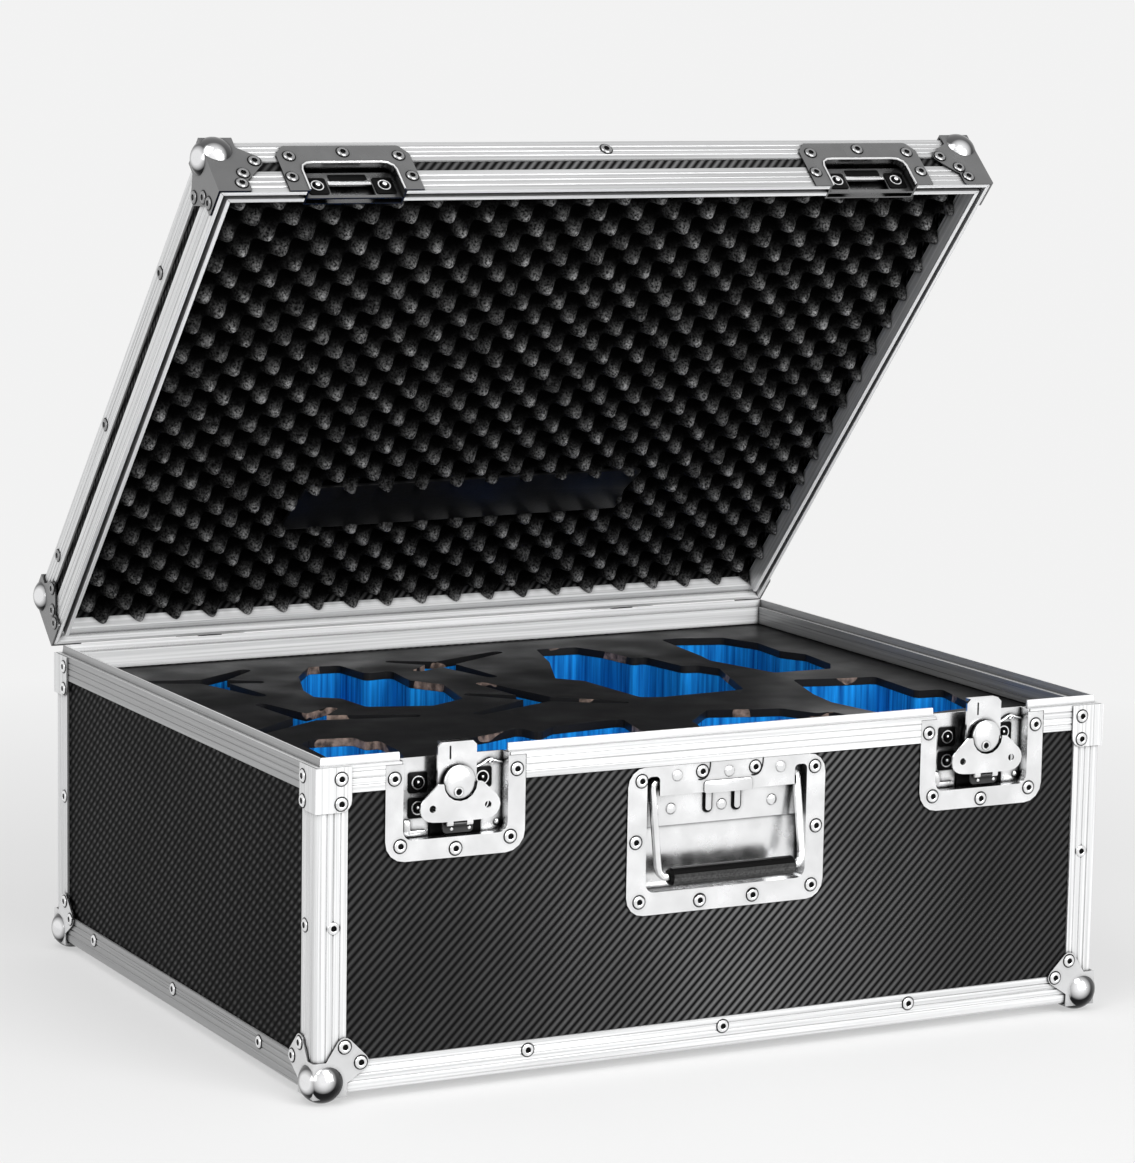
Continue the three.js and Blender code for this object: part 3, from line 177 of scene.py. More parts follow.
# %% Helpers that build materials
class Network:
    """A tree of nodes. add() makes a node; each input is a number or another node's socket."""

    def __init__(self, tree):
        self.tree = tree

    def put(self, socket, value):
        if isinstance(value, bpy.types.NodeSocket):
            self.tree.links.new(value, socket)
        else:
            socket.default_value = value

    def add(self, kind, inputs=(), **settings):
        node = self.tree.nodes.new(kind)
        for setting, value in settings.items():
            setattr(node, setting, value)
        for key, value in dict(inputs).items():
            self.put(node.inputs[key], value)
        return node

    def math(self, operation, a, b=0.0):
        return self.add("ShaderNodeMath", {0: a, 1: b}, operation=operation).outputs[0]

    def times(self, a, b):
        return self.math("MULTIPLY", a, b)

    def background_ray(self):
        """1 for rays that should meet the pale background: from the camera, mirrors and glass."""
        path = self.add("ShaderNodeLightPath")
        rays = [path.outputs[f"Is {kind} Ray"] for kind in ("Camera", "Glossy", "Transmission")]
        return self.math("MINIMUM", self.math("ADD", self.math("ADD", *rays[:2]), rays[2]), 1.0)


class Finish(Network):
    """One material round a Principled shader, with helpers for patterns in metres."""

    def __init__(self, name, color, roughness, metallic=0.0, specular=0.5):
        self.material = bpy.data.materials.new(name)
        self.material.use_nodes = True
        super().__init__(self.material.node_tree)
        self.shader = self.tree.nodes["Principled BSDF"]
        self.set("Base Color", (*color, 1.0))
        self.set("Roughness", roughness)
        self.set("Metallic", metallic)
        self.set("Specular IOR Level", specular)
        coordinates = self.add("ShaderNodeTexCoord")
        self.place = coordinates.outputs["Object"]
        self.facing = coordinates.outputs["Normal"]

    def set(self, socket, value):
        self.put(self.shader.inputs[socket], value)

    def dot(self, vector, direction):
        inputs = {0: vector, 1: tuple(direction)}
        return self.add("ShaderNodeVectorMath", inputs, operation="DOT_PRODUCT").outputs["Value"]

    def faces(self, direction, both_ways=True):
        """1 where the surface faces a direction, or its opposite, within about 45 degrees."""
        share = self.dot(self.facing, direction)
        return self.math("GREATER_THAN", self.math("ABSOLUTE", share) if both_ways else share, 0.7)

    def noise(self, scale, detail=2.0, vector=None):
        vector = self.place if vector is None else vector
        inputs = {"Vector": vector, "Scale": scale, "Detail": detail}
        return self.add("ShaderNodeTexNoise", inputs).outputs["Fac"]

    def spread(self, value, low, high, start=0.3, end=0.7):
        """Map a texture value from start..end to low..high."""
        inputs = dict(zip(("Value", "From Min", "From Max", "To Min", "To Max"),
                          (value, start, end, low, high)))
        return self.add("ShaderNodeMapRange", inputs).outputs["Result"]

    def openness(self, reach, closed, free):
        """0 in a crevice to 1 in the open: the share of rays, up to a reach, that meet nothing."""
        node = self.add("ShaderNodeAmbientOcclusion", {"Distance": reach}, samples=6)
        return self.spread(node.outputs["AO"], 0.0, 1.0, closed, free)

    def either(self, switch, off, on):
        """One of two values, chosen by a switch that is 0 or 1."""
        mix = self.add("ShaderNodeMix", {0: switch, 2: off, 3: on}, data_type="FLOAT")
        return mix.outputs[0]

    def tint(self, value, dark, light):
        """Mix two colours by a value from 0 to 1 and use the result as the base colour."""
        colours = {0: value, 6: (*dark, 1.0), 7: (*light, 1.0)}
        self.set("Base Color", self.add("ShaderNodeMix", colours, data_type="RGBA").outputs[2])

    def bump(self, height, distance, strength=1.0):
        """Tilt the surface by a height from 0 to 1 that stands for a distance in metres."""
        inputs = {"Height": height, "Distance": distance, "Strength": strength}
        self.set("Normal", self.add("ShaderNodeBump", inputs).outputs["Normal"])


def case_axes(on_lid):
    """The directions along the hinge, to the back and up, turned with the lid for its pieces."""
    if not on_lid:
        return np.eye(3)
    cos, sin = math.cos(LID_ANGLE), math.sin(LID_ANGLE)
    return np.array([[1, 0, 0], [0, cos, -sin], [0, sin, cos]])


# %% [markdown]
# ### Aluminium edges
#
# The edges are drawn through a die, which leaves fine streaks along each bar. A noise texture
# whose coordinates are squeezed along the bar and stretched across it gives such streaks, in the
# roughness and as a very low bump. There is one finish for each direction that a bar can run.
# Each bar has painted shade, darker in its crevices. The lid's front bars have a painted dark
# reflection on their front faces, and the base's side bars painted shade on their side faces.
# The rims along the hinge, which look evenly pale, are not metallic.

# %% Drawn aluminium
STREAKS_ALONG, STREAKS_ACROSS = 4.0, 700.0
EDGE_DARK, EDGE_LIGHT = (0.06, 0.06, 0.061), (0.9, 0.905, 0.91)


def drawn_aluminium(name, along, on_lid, metallic=0.6, front_shade=1.0, side_shade=1.0):
    """Streaks: noise of (4 l, 700 a, 700 b), with l along the bar and a, b across it, in metres."""
    name += "_lid" if on_lid else ""
    finish = Finish(name, (0.86, 0.865, 0.87), 0.34, metallic=metallic)
    axes = case_axes(on_lid)
    parts = [finish.times(finish.dot(finish.place, axis), scale) for axis, scale in
             zip(axes, [STREAKS_ALONG if i == along else STREAKS_ACROSS for i in range(3)])]
    streaked = finish.add("ShaderNodeCombineXYZ", dict(zip("XYZ", parts))).outputs[0]
    streaks = finish.noise(1.0, 3.0, streaked)
    finish.set("Roughness", finish.spread(streaks, 0.26, 0.46))
    finish.bump(streaks, 0.00005, 0.7)
    # Painted shade: darker in crevices, from ambient occlusion, and on front or side faces where
    # front_shade or side_shade is below 1. The streaks are the bar's own tone.
    shade_and_tone = finish.times(finish.openness(0.005, 0.42, 0.88), finish.spread(streaks, 0.62, 1.0))
    shade_and_tone = finish.times(shade_and_tone, finish.either(finish.faces(axes[1]), 1.0, front_shade))
    shade_and_tone = finish.times(shade_and_tone, finish.either(finish.faces(axes[0]), 1.0, side_shade))
    inner_face = finish.faces(axes[2] * (-1 if on_lid else 1), both_ways=False)
    finish.set("Metallic", finish.either(inner_face, metallic, 0.05))
    finish.tint(shade_and_tone, EDGE_DARK, EDGE_LIGHT)
    return finish.material


bars = {(along, on_lid): drawn_aluminium(f"drawn_aluminium_{'xyz'[along]}", along, on_lid)
        for along, on_lid in ((0, False), (1, True), (2, False))}
# Painted dark reflection on the front faces of the lid's bars; painted shade on the base's side
# faces.
bars[0, True] = drawn_aluminium("shaded_aluminium_x", 0, True, front_shade=0.6)
bars[1, False] = drawn_aluminium("shaded_aluminium_y", 1, False, side_shade=0.44)
back_bars = [drawn_aluminium("soft_aluminium_x", 0, on_lid, metallic=0.0)
             for on_lid in (False, True)]
print("Aluminium finishes:", len(bars) + len(back_bars))

# %% [markdown]
# ### Ribbed black skin
#
# The panels wear a thin laminate pressed with slanting ribs, like a coarse twill cloth. On any
# wall, u runs to the right and v up as one looks at it from outside; u comes from the cross product
# of the up direction and the wall's own normal. A sine of u - v then gives ribs that rise to the
# right on every wall. The two short walls wear a sheet with a slightly wider pitch, where a second,
# flatter wave crosses the first, so it looks finely chequered.

# %% Ribbed laminate
RIB_PITCH, SHORT_WALL_PITCH = 7.13 * MM, 7.4 * MM
RIBS_U, SHORT_RIBS_U, CROSSING_U = -1.0, -0.88, 0.22


def ribbed_laminate(name, on_lid):
    """Ribs: 0.5 + 0.5 sin(2 pi (v - u) / pitch), times a like wave of 0.22 u + v on short walls."""
    finish = Finish(name, (0.03, 0.03, 0.031), 0.42)
    axes = case_axes(on_lid)
    across, deep, high = [finish.dot(finish.place, axis) for axis in axes]
    upward = tuple(float(part) for part in axes[2])
    right = finish.add("ShaderNodeVectorMath", {0: upward, 1: finish.facing},
                       operation="CROSS_PRODUCT").outputs["Vector"]
    along = finish.add("ShaderNodeVectorMath", {0: right, 1: finish.place},
                       operation="DOT_PRODUCT").outputs["Value"]
    flat, short_wall = finish.faces(axes[2]), finish.faces(axes[0])
    u, v = finish.either(flat, along, across), finish.either(flat, high, deep)
    turns = finish.either(short_wall, 2 * math.pi / RIB_PITCH, 2 * math.pi / SHORT_WALL_PITCH)

    def wave(u_share):
        phase = finish.math("ADD", finish.times(u, u_share), v)
        return finish.spread(finish.math("SINE", finish.times(phase, turns)), 0.0, 1.0, -1.0, 1.0)

    ribs = wave(finish.either(short_wall, RIBS_U, SHORT_RIBS_U))
    crossing = finish.spread(wave(CROSSING_U), 0.0, 0.6, 0.0, 1.0)
    crossing = finish.either(short_wall, 1.0, crossing)
    # Painted highlight: walls other than the short ones are lighter within 30 mm of the middle,
    # fading to 0.45 by 220 mm. The noise is the skin's own uneven tone.
    from_middle = finish.math("ABSOLUTE", finish.math("SUBTRACT", across, 0.01))
    middle = finish.spread(from_middle, 1.0, 0.45, 0.03, 0.22)
    wear_and_painted_highlight = finish.times(finish.spread(finish.noise(9.0), 0.75, 1.0),
                        finish.either(short_wall, middle, 1.0))
    value = finish.times(finish.times(ribs, crossing), wear_and_painted_highlight)
    finish.set("Specular IOR Level", finish.either(short_wall, 0.06, 0.025))
    finish.tint(finish.math("POWER", value, 1.4), (0.0015, 0.0015, 0.0015), (0.15, 0.15, 0.152))
    finish.set("Roughness", finish.spread(ribs, 0.6, 0.36, 0.0, 1.0))
    grain = finish.times(finish.noise(1500.0), 0.3)
    finish.bump(finish.math("ADD", ribs, grain), 0.0003, 0.6)
    return finish.material


skins = [ribbed_laminate("ribbed_laminate", False), ribbed_laminate("ribbed_laminate_lid", True)]

# %% [markdown]
# ### Pressed steel
#
# Corners are chrome plated and nearly mirror smooth; latches, handle and hinges are zinc plated
# and slightly softer. Pressing leaves a faint wave in the sheet, so both get a wide, low bump, and
# handling leaves smudges, so the roughness wanders. Each metal also has painted shade: it darkens
# in its crevices, where a plate meets another. The lid's plates and rivets have darker copies of
# these finishes, a painted dark reflection, and the latch rotors a nearly black one, a painted
# shade.

# %% Plated steel
def plated_steel(name, dark, light, roughness, wave, reach=0.02):
    """Smudges of about 20 mm in the roughness, a wave of about 15 mm, and painted shade in
    crevices.
    """
    finish = Finish(name, (light, light, light), roughness[0], metallic=1.0)
    smudges = finish.noise(50.0, 4.0)
    finish.set("Roughness", finish.spread(smudges, *roughness))
    finish.bump(finish.noise(70.0, 1.0), wave, 0.5)
    # Painted shade: ambient occlusion darkens the crevices. The smudges are the plating's own
    # marks.
    crevice = finish.times(finish.openness(0.0035, 0.5, 0.92), finish.openness(reach, 0.15, 0.75))
    shade_and_tone = finish.times(finish.math("POWER", crevice, 1.7), finish.spread(smudges, 0.9, 1.0))
    finish.tint(shade_and_tone, (dark, dark, dark * 1.02), (light, light * 1.003, light * 1.01))
    return finish.material


# The darker copies for the lid's corners, latch plates and rivets have a painted dark reflection,
# and the nearly black copy for the latch rotors is a painted shade.
chrome = plated_steel("chrome_plate", 0.02, 0.84, (0.07, 0.2), 0.0002)
dark_reflection_chrome = plated_steel("dark_reflection_chrome_plate", 0.015, 0.22, (0.16, 0.3), 0.0002)
zinc = plated_steel("zinc_plate", 0.02, 0.93, (0.16, 0.3), 0.00015, reach=0.012)
dark_reflection_zinc = plated_steel("dark_reflection_zinc_plate", 0.02, 0.22, (0.2, 0.36), 0.00015, reach=0.012)
shaded_zinc = plated_steel("shaded_zinc_plate", 0.01, 0.07, (0.2, 0.36), 0.00015)
grey_reflection_zinc = plated_steel("grey_reflection_zinc_plate", 0.02, 0.34, (0.2, 0.36), 0.00015)
# Dark steel for pin ends and other dark parts, also used for painted shadows and shade.
dark_steel_and_shadow = plated_steel("dark_steel_and_shadow", 0.002, 0.01, (0.35, 0.5), 0.0001)


def ball_chrome_finish():
    """Bright where the surface faces a lamp, dark round it: grey = f(normal . lamp)."""
    finish = Finish("ball_chrome", (0.5, 0.5, 0.5), 0.12, metallic=1.0)
    front, left, sky = [finish.dot(finish.facing, lamp) for lamp in
                        ((-0.28, -0.92, 0.27), (-0.94, -0.33, 0.1), (0, 0, 1))]
    bright = finish.math("MAXIMUM", finish.spread(front, 0.0, 1.0, 0.8, 0.985),
                         finish.spread(left, 0.0, 0.9, 0.82, 0.95))
    bright = finish.math("MAXIMUM", bright, finish.spread(sky, 0.0, 0.14, -0.2, 0.9))
    finish.tint(bright, (0.015, 0.015, 0.016), (0.97, 0.97, 0.98))
    smudges = finish.noise(120.0, 4.0)
    finish.set("Roughness", finish.spread(smudges, 0.06, 0.22))
    finish.bump(smudges, 0.0002, 0.4)
    return finish.material


ball_chrome = ball_chrome_finish()

# %% [markdown]
# ### Rubber and foam
#
# The grip is black rubber with a fine grain. Foam scatters light and shines only a little: its
# colour is uneven and its surface is full of pores, which a small noise bump gives. The blue foam
# is cut by a thin jet, which leaves upright lines on the walls of each pocket.

# %% Rubber and foams
def grained(name, dark, light, roughness, grain, depth, specular, upright=1.0):
    """Noise of the given grains per metre; upright squeezes it in z, for upright lines on walls."""
    finish = Finish(name, light, roughness, specular=specular)
    mapping = {"Vector": finish.place, "Scale": (1.0, 1.0, upright)}
    grains = finish.noise(grain, 3.0, finish.add("ShaderNodeMapping", mapping).outputs[0])
    finish.tint(finish.spread(grains, 0.0, 1.0), dark, light)
    finish.bump(grains, depth, 0.7)
    return finish.material


def grip_rubber_finish():
    """Black, with a painted grainy grey sheen along the side that faces forward and a little down.
    """
    finish = Finish("grip_rubber", (0.004, 0.004, 0.004), 0.4, specular=0.06)
    grain = finish.noise(700.0, 3.0)
    facing_front = finish.dot(finish.facing, (-0.05, -0.96, -0.28))
    sheen = finish.times(finish.spread(facing_front, 0.0, 1.0, 0.72, 1.0),
                         finish.spread(grain, 0.4, 1.0))
    finish.tint(sheen, (0.0012, 0.0012, 0.0012), (0.085, 0.085, 0.085))
    finish.bump(grain, 0.0002, 0.6)
    return finish.material


rubber = grip_rubber_finish()
patch_vinyl = grained("patch_vinyl", (0.003, 0.003, 0.003), (0.007, 0.007, 0.0075), 0.32,
                      500.0, 0.0001, 0.2)
blue_foam = grained("blue_foam", (0.0, 0.07, 0.3), (0.01, 0.34, 0.92), 0.8,
                    260.0, 0.0004, 0.12, upright=0.04)


def sheet_foam_finish():
    """Black skin with a fine grain. Its cut walls are tan in places, by a noise of about 80 mm."""
    finish = Finish("black_sheet_foam", (0.008, 0.008, 0.009), 0.42, specular=0.16)
    upright = finish.math("ABSOLUTE", finish.dot(finish.facing, (0, 0, 1)))
    wall = finish.math("LESS_THAN", upright, 0.5)
    tan_patches = finish.math("GREATER_THAN", finish.noise(22.0), 0.6)
    mottled = finish.times(tan_patches, finish.spread(finish.noise(160.0, 3.0), 0.15, 1.0, 0.35, 0.65))
    finish.tint(finish.times(wall, mottled), (0.006, 0.006, 0.0065), (0.3, 0.22, 0.18))
    finish.set("Roughness", finish.spread(finish.noise(18.0), 0.34, 0.6))
    finish.bump(finish.noise(700.0, 4.0), 0.0002, 0.8)
    return finish.material


EGG_PEAK, EGG_VALLEY, EGG_BACK = 10.0, 28.0, 43.1


def egg_foam_finish():
    """Grey and grainy on the peaks, black in the pits: grey = (share of the way up) ** 4.5.

    The grey on the peaks is painted light and the black in the pits painted shade.
    """
    finish = Finish("egg_crate_foam", (0.02, 0.02, 0.02), 0.95, specular=0.02)
    upward = case_axes(True)[2]
    rim = HINGE_Y * upward[1] + HINGE_Z * upward[2] + PARTING - HINGE_Z
    depth = finish.math("SUBTRACT", finish.dot(finish.place, upward), float(rim))
    share = finish.spread(depth, 1.0, 0.0, EGG_PEAK * MM, EGG_VALLEY * MM)
    grain = finish.noise(600.0, 4.0)
    speckle = finish.times(finish.spread(finish.noise(110.0), 0.2, 1.0, 0.35, 0.65),
                           finish.spread(grain, 0.05, 1.0, 0.36, 0.62))
    grey = finish.times(finish.math("POWER", share, 4.5), speckle)
    finish.tint(grey, (0.0004, 0.0004, 0.0004), (0.42, 0.42, 0.42))
    finish.bump(grain, 0.0007, 0.9)
    return finish.material


sheet_foam, egg_foam = sheet_foam_finish(), egg_foam_finish()

# %% [markdown]
# ### Dressing the CAD parts
#
# Each CAD part keeps its shape and gets one of the finishes. An edge's name tells which way it
# runs: fronts and backs run along X, sides along Y and corner posts along Z.

# %% Finishes for the CAD parts
# The nearly black zinc of the latch rotors is a painted shade. The darker zinc and chrome of the
# lid's latch plates and corners are a painted dark reflection.
FINISHES = (
    ("handle_grip", rubber), ("lid_latch_", dark_reflection_zinc), ("latch_rotor", shaded_zinc),
    (("latch_", "handle_", "hinge_"), zinc), ("lid_corner", dark_reflection_chrome), ("ball_corner", chrome),
    ("corner_post", bars[2, False]),
    ("base_rim_back", back_bars[0]), ("lid_rim_back", back_bars[1]),
)


def finish_for(name):
    """The finish of the first beginning that fits the name, then edges by direction, then skin."""
    for beginning, material in FINISHES:
        if name.startswith(beginning):
            return material
    on_lid = name.startswith("lid_")
    if name.startswith(("bottom_edge", "base_rim", "lid_edge", "lid_rim")):
        return bars[int(name.endswith(("_left", "_right")) and "front" not in name), on_lid]
    return skins[on_lid]


for name, node in nodes.items():
    node.data.materials.clear()
    node.data.materials.append(finish_for(name))

# %% [markdown]
# ## Floor, light and camera
#
# The photograph is a product shot on a very pale ground. A pale floor catches the shadow; camera,
# mirror and glass rays see the same pale grey beyond it. Large soft lamps light the case from the
# front, the left and above, and a smaller one is aimed at the foam and the inner edges. The camera
# looks down by 8.7 degrees from the front left, through a long lens, 3.1 metres away; its place
# comes from fitting the straight edges of the photograph.

# %% Floor
PALE = (0.89, 0.89, 0.89, 1.0)
FLOOR_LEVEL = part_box("ball_corner_front_left")[0].z
FLOOR_REACH = 40.0


def studio_floor():
    """A wide square at the level of the ball corners, which glows pale away from the case."""
    corners = np.array([[-1, -1, 0], [1, -1, 0], [1, 1, 0], [-1, 1, 0]]) * FLOOR_REACH
    corners[:, 2] = FLOOR_LEVEL
    floor = loose_object("studio_floor", corners, [[0, 1, 2, 3]])
    finish = Finish("studio_floor", (0.8, 0.8, 0.8), 0.9, specular=0.1)
    far = finish.add("ShaderNodeVectorMath", {0: finish.place}, operation="LENGTH").outputs["Value"]
    seen = finish.times(finish.background_ray(), finish.spread(far, 0.5, 1.0, 0.3, 1.4))
    glow = finish.add("ShaderNodeEmission", {"Color": PALE, "Strength": 1.0}).outputs[0]
    mix = finish.add("ShaderNodeMixShader", {0: seen, 1: finish.shader.outputs[0], 2: glow})
    finish.put(finish.tree.nodes["Material Output"].inputs["Surface"], mix.outputs[0])
    floor.data.materials.append(finish.material)


studio_floor()

# %% World and lamps
def studio_world(strength):
    """Pale to the camera, to mirrors and to glass, and a gentle grey as light on the case."""
    world = bpy.data.worlds.new("studio_world")
    world.use_nodes = True
    bpy.context.scene.world = world
    network = Network(world.node_tree)
    light = network.tree.nodes["Background"]
    network.put(light.inputs["Color"], (1.0, 1.0, 1.0, 1.0))
    network.put(light.inputs["Strength"], strength)
    seen = network.add("ShaderNodeBackground", {"Color": PALE}).outputs[0]
    shares = {0: network.background_ray(), 1: light.outputs[0], 2: seen}
    mix = network.add("ShaderNodeMixShader", shares).outputs[0]
    network.put(network.tree.nodes["World Output"].inputs["Surface"], mix)


def soft_lamp(name, place, target, size, power):
    """A rectangular lamp at a place, turned so that its own -Z points at the target."""
    lamp = bpy.data.lights.new(name, "AREA")
    lamp.shape = "RECTANGLE"
    lamp.size, lamp.size_y = size
    lamp.energy = power
    holder = linked(name, lamp)
    aim = (Vector(target) - Vector(place)).to_track_quat("-Z", "Y")
    holder.matrix_world = Matrix.Translation(place) @ aim.to_matrix().to_4x4()


studio_world(0.4)
soft_lamp("front_box", (0.9, -3.1, 1.3), (0, 0, 0.25), (2.2, 1.8), 62)
soft_lamp("inner_box", (0.1, -1.6, 1.7), (0, 0.2, 0.22), (1.0, 0.7), 16)
soft_lamp("left_box", (-2.8, -1.4, 1.3), (0, 0, 0.25), (1.4, 1.6), 14)
soft_lamp("top_box", (-1.5, -0.9, 2.5), (0, 0, 0.2), (1.4, 1.4), 26)
bpy.context.scene.view_settings.view_transform = "Standard"

# %% Camera
AZIMUTH, ELEVATION, ROLL = (math.radians(angle) for angle in (-27.72, 8.67, 0.99))
CASE_WIDTH = 0.65
CAMERA_PLACE = (-0.0007, 0.4601, 4.798)
ORIGIN_SHIFT = 0.0024
FOCAL_PIXELS, PHOTO_PIXELS, SENSOR = 3970, 1163, 36.0


def place_camera():
    """Axes: back = (sin a cos e, -cos a cos e, sin e) and right = (cos a, sin a, 0).

    The place is given along right, up and back in case widths, and the focal length is the
    sensor's height times focal pixels over picture pixels.
    """
    flat = math.cos(ELEVATION)
    back = np.array([math.sin(AZIMUTH) * flat, -math.cos(AZIMUTH) * flat, math.sin(ELEVATION)])
    right = np.array([math.cos(AZIMUTH), math.sin(AZIMUTH), 0.0])
    up = np.cross(back, right)
    place = CASE_WIDTH * (np.array(CAMERA_PLACE) @ [right, up, back]) + [0, 0, ORIGIN_SHIFT]
    rolled_right = math.cos(ROLL) * right + math.sin(ROLL) * up
    rolled_up = math.cos(ROLL) * up - math.sin(ROLL) * right
    camera = bpy.data.cameras.new("camera")
    camera.sensor_fit = "VERTICAL"
    camera.sensor_height = SENSOR
    camera.lens = SENSOR * FOCAL_PIXELS / PHOTO_PIXELS
    camera.clip_end = 200.0
    holder = linked("camera", camera)
    turned = Matrix(np.stack([rolled_right, rolled_up, back], axis=1).tolist()).to_4x4()
    holder.matrix_world = Matrix.Translation(place) @ turned
    bpy.context.scene.camera = holder
    print("Camera at", np.round(place, 3), "with a lens of", round(camera.lens, 1), "mm")


place_camera()

# %% [markdown]
# ## Cut foam
#
# The base is filled with blue foam under a thin black sheet, and both are cut with one set of
# outlines: rounded pockets for the aircraft, the controller and the rest, and narrow crossing
# slots for folded arms. The slab and its cutters are prisms: a boolean takes the cutters out of
# the slab, and a bevel then rounds every cut edge.

# %% The layout of the cut foam, in millimetres about its middle
POCKETS = {
    "airframe": [(-113, 2), (-79, 20), (-66, 81), (-83, 107), (-78, 152), (-102, 148), (-106, 190),
                 (-132, 192), (-157, 155), (-178, 98), (-182, 69), (-165, 56), (-162, 17)],
    "controller": [(51, -26), (67, -32), (143, -27), (172, 62), (163, 82), (150, 84), (142, 134),
                   (130, 130), (124, 170), (112, 196), (76, 199), (58, 140), (28, 72), (44, 54)],
    "camera": [(204, 29), (256, 28), (268, 48), (273, 95), (261, 117), (264, 158), (250, 193),
               (213, 204), (196, 203), (188, 121), (184, 98), (195, 61)],
    "charger": [(189, -156), (221, -169), (272, -160), (289, -86), (266, -84), (270, -17),
                (243, -14), (201, -4), (183, -66), (178, -101)],
    "batteries": [(60, -205), (148, -205), (164, -160), (157, -135), (144, -137), (128, -109),
                  (110, -105), (72, -93), (39, -129), (34, -151)],
    "goggles": [(-160, -208), (-22, -208), (-3, -162), (-15, -149), (-5, -100), (-68, -108),
                (-89, -127), (-93, -103), (-127, -119), (-173, -134)],
    "cables": [(-272, -190), (-226, -194), (-212, -146), (-210, -108), (-221, -112), (-222, -91),
               (-255, -86), (-267, -100)],
}
SLOTS = {
    "front_left": ((-221, -8), [(-232, 54), (-190, 20), (-282, -50), (-144, -30)]),
    "front_right": ((-22, -4), [(-36, 73), (-94, -40), (-66, 34), (28, -40)]),
    "back_left": ((-231, 161), [(-280, 177), (-186, 196), (-217, 92), (-196, 145)]),
    "back_right": ((-27, 166), [(-60, 190), (39, 198), (-15, 100), (-56, 146)]),
}
LAYOUT = np.array([628.0, 486.0])
FOAM_HALF = np.array([315.9, 244.9])
POCKET_ROUND = 5.0
SLOT_HALF = 5.0


def laid_out(points):
    """Stretch the layout to the foam's own size, by foam size over layout size each way."""
    return np.asarray(points, float) * 2 * FOAM_HALF / LAYOUT


def rounded(corners, radius, steps=5):
    """A closed outline whose corners are arcs.

    At each corner the arc starts and ends radius * tan(turn / 2) away along the two sides, and its
    points turn evenly about a centre on the corner's bisector.
    """
    def length(vectors):
        return np.linalg.norm(vectors, axis=1, keepdims=True)

    corners = np.asarray(corners, float)
    before = np.roll(corners, 1, axis=0) - corners
    after = np.roll(corners, -1, axis=0) - corners
    a, b = before / length(before), after / length(after)
    half_angle = np.arccos(np.clip((a * b).sum(1, keepdims=True), -1, 1)) / 2
    most = 0.45 * np.minimum(length(before), length(after))
    reach = np.minimum(radius / np.tan(half_angle), most)
    radii = reach * np.tan(half_angle)
    centre = corners + (a + b) / length(a + b) * radii / np.sin(half_angle)
    start, end = corners + a * reach - centre, corners + b * reach - centre
    turn = np.arctan2(start[:, 0] * end[:, 1] - start[:, 1] * end[:, 0], (start * end).sum(1))
    from_angle = np.arctan2(start[:, 1], start[:, 0])
    angle = from_angle[:, None] + turn[:, None] * np.linspace(0, 1, steps)
    arcs = centre[:, None] + radii[:, None] * np.stack([np.cos(angle), np.sin(angle)], axis=-1)
    return arcs.reshape(-1, 2)


pocket_outlines = [rounded(laid_out(corners), POCKET_ROUND) for corners in POCKETS.values()]
print("Pocket outlines:", dict(zip(POCKETS, map(len, pocket_outlines))))

# %% Prisms and cutting
def prism(outline, low, high):
    """A closed prism: an anticlockwise outline in mm at two heights in metres, with flat ends."""
    outline = np.asarray(outline, float) * MM
    count = len(outline)
    points = np.concatenate([np.column_stack([outline, np.full(count, z)]) for z in (low, high)])
    sides = grid_faces(2, count, closed=True).tolist()
    ends = [list(range(count))[::-1], list(range(count, 2 * count))]
    return points, sides + ends


def joined(shapes):
    """Several (points, faces) shapes as one, with their corner numbers shifted."""
    points, faces, start = [], [], 0
    for shape_points, shape_faces in shapes:
        points.append(shape_points)
        faces += [[int(corner) + start for corner in face] for face in shape_faces]
        start += len(shape_points)
    return np.concatenate(points), faces


def apply_modifiers(thing):
    """Work an object's modifiers into its mesh."""
    view = bpy.context.evaluated_depsgraph_get()
    view.update()
    mesh = bpy.data.meshes.new_from_object(thing.evaluated_get(view))
    thing.modifiers.clear()
    thing.data = mesh


def cut_foam(name, low, high, cutters, round_edge, material, replaced):
    """A slab of foam between two heights, less its cutters, with each cut edge slightly rounded."""
    corners = np.array([(-1, -1), (1, -1), (1, 1), (-1, 1)]) * FOAM_HALF
    slab = loose_object(name, *prism(corners, low, high))
    tool = loose_object(name + "_tool", *joined(cutters))
    cut = slab.modifiers.new("cut", "BOOLEAN")
    cut.operation, cut.solver, cut.use_self, cut.object = "DIFFERENCE", "EXACT", True, tool
    apply_modifiers(slab)
    bpy.data.objects.remove(tool)
    edge = slab.modifiers.new("edge", "BEVEL")
    edge.width, edge.segments = round_edge, 2
    edge.limit_method, edge.angle_limit = "ANGLE", math.radians(50)
    apply_modifiers(slab)
    slab.data.polygons.foreach_set("use_smooth", [False] * len(slab.data.polygons))
    slab.data.materials.clear()
    slab.data.materials.append(material)
    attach(slab, "base")
    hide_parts(*replaced)
    print(name, "has", len(slab.data.polygons), "faces")


# %% Pockets, slots and the notches behind the dishes
def slot_bar(hub, tip, steps=9):
    """A bar with round ends, 10 mm in radius at its hub and 5 mm at its tip."""
    hub, tip = laid_out(hub), laid_out(tip)
    turn = math.atan2(*(tip - hub)[::-1]) + np.linspace(-math.pi / 2, math.pi / 2, steps)
    arc = SLOT_HALF * np.column_stack([np.cos(turn), np.sin(turn)])
    return np.concatenate([tip + arc, hub - 2 * arc])


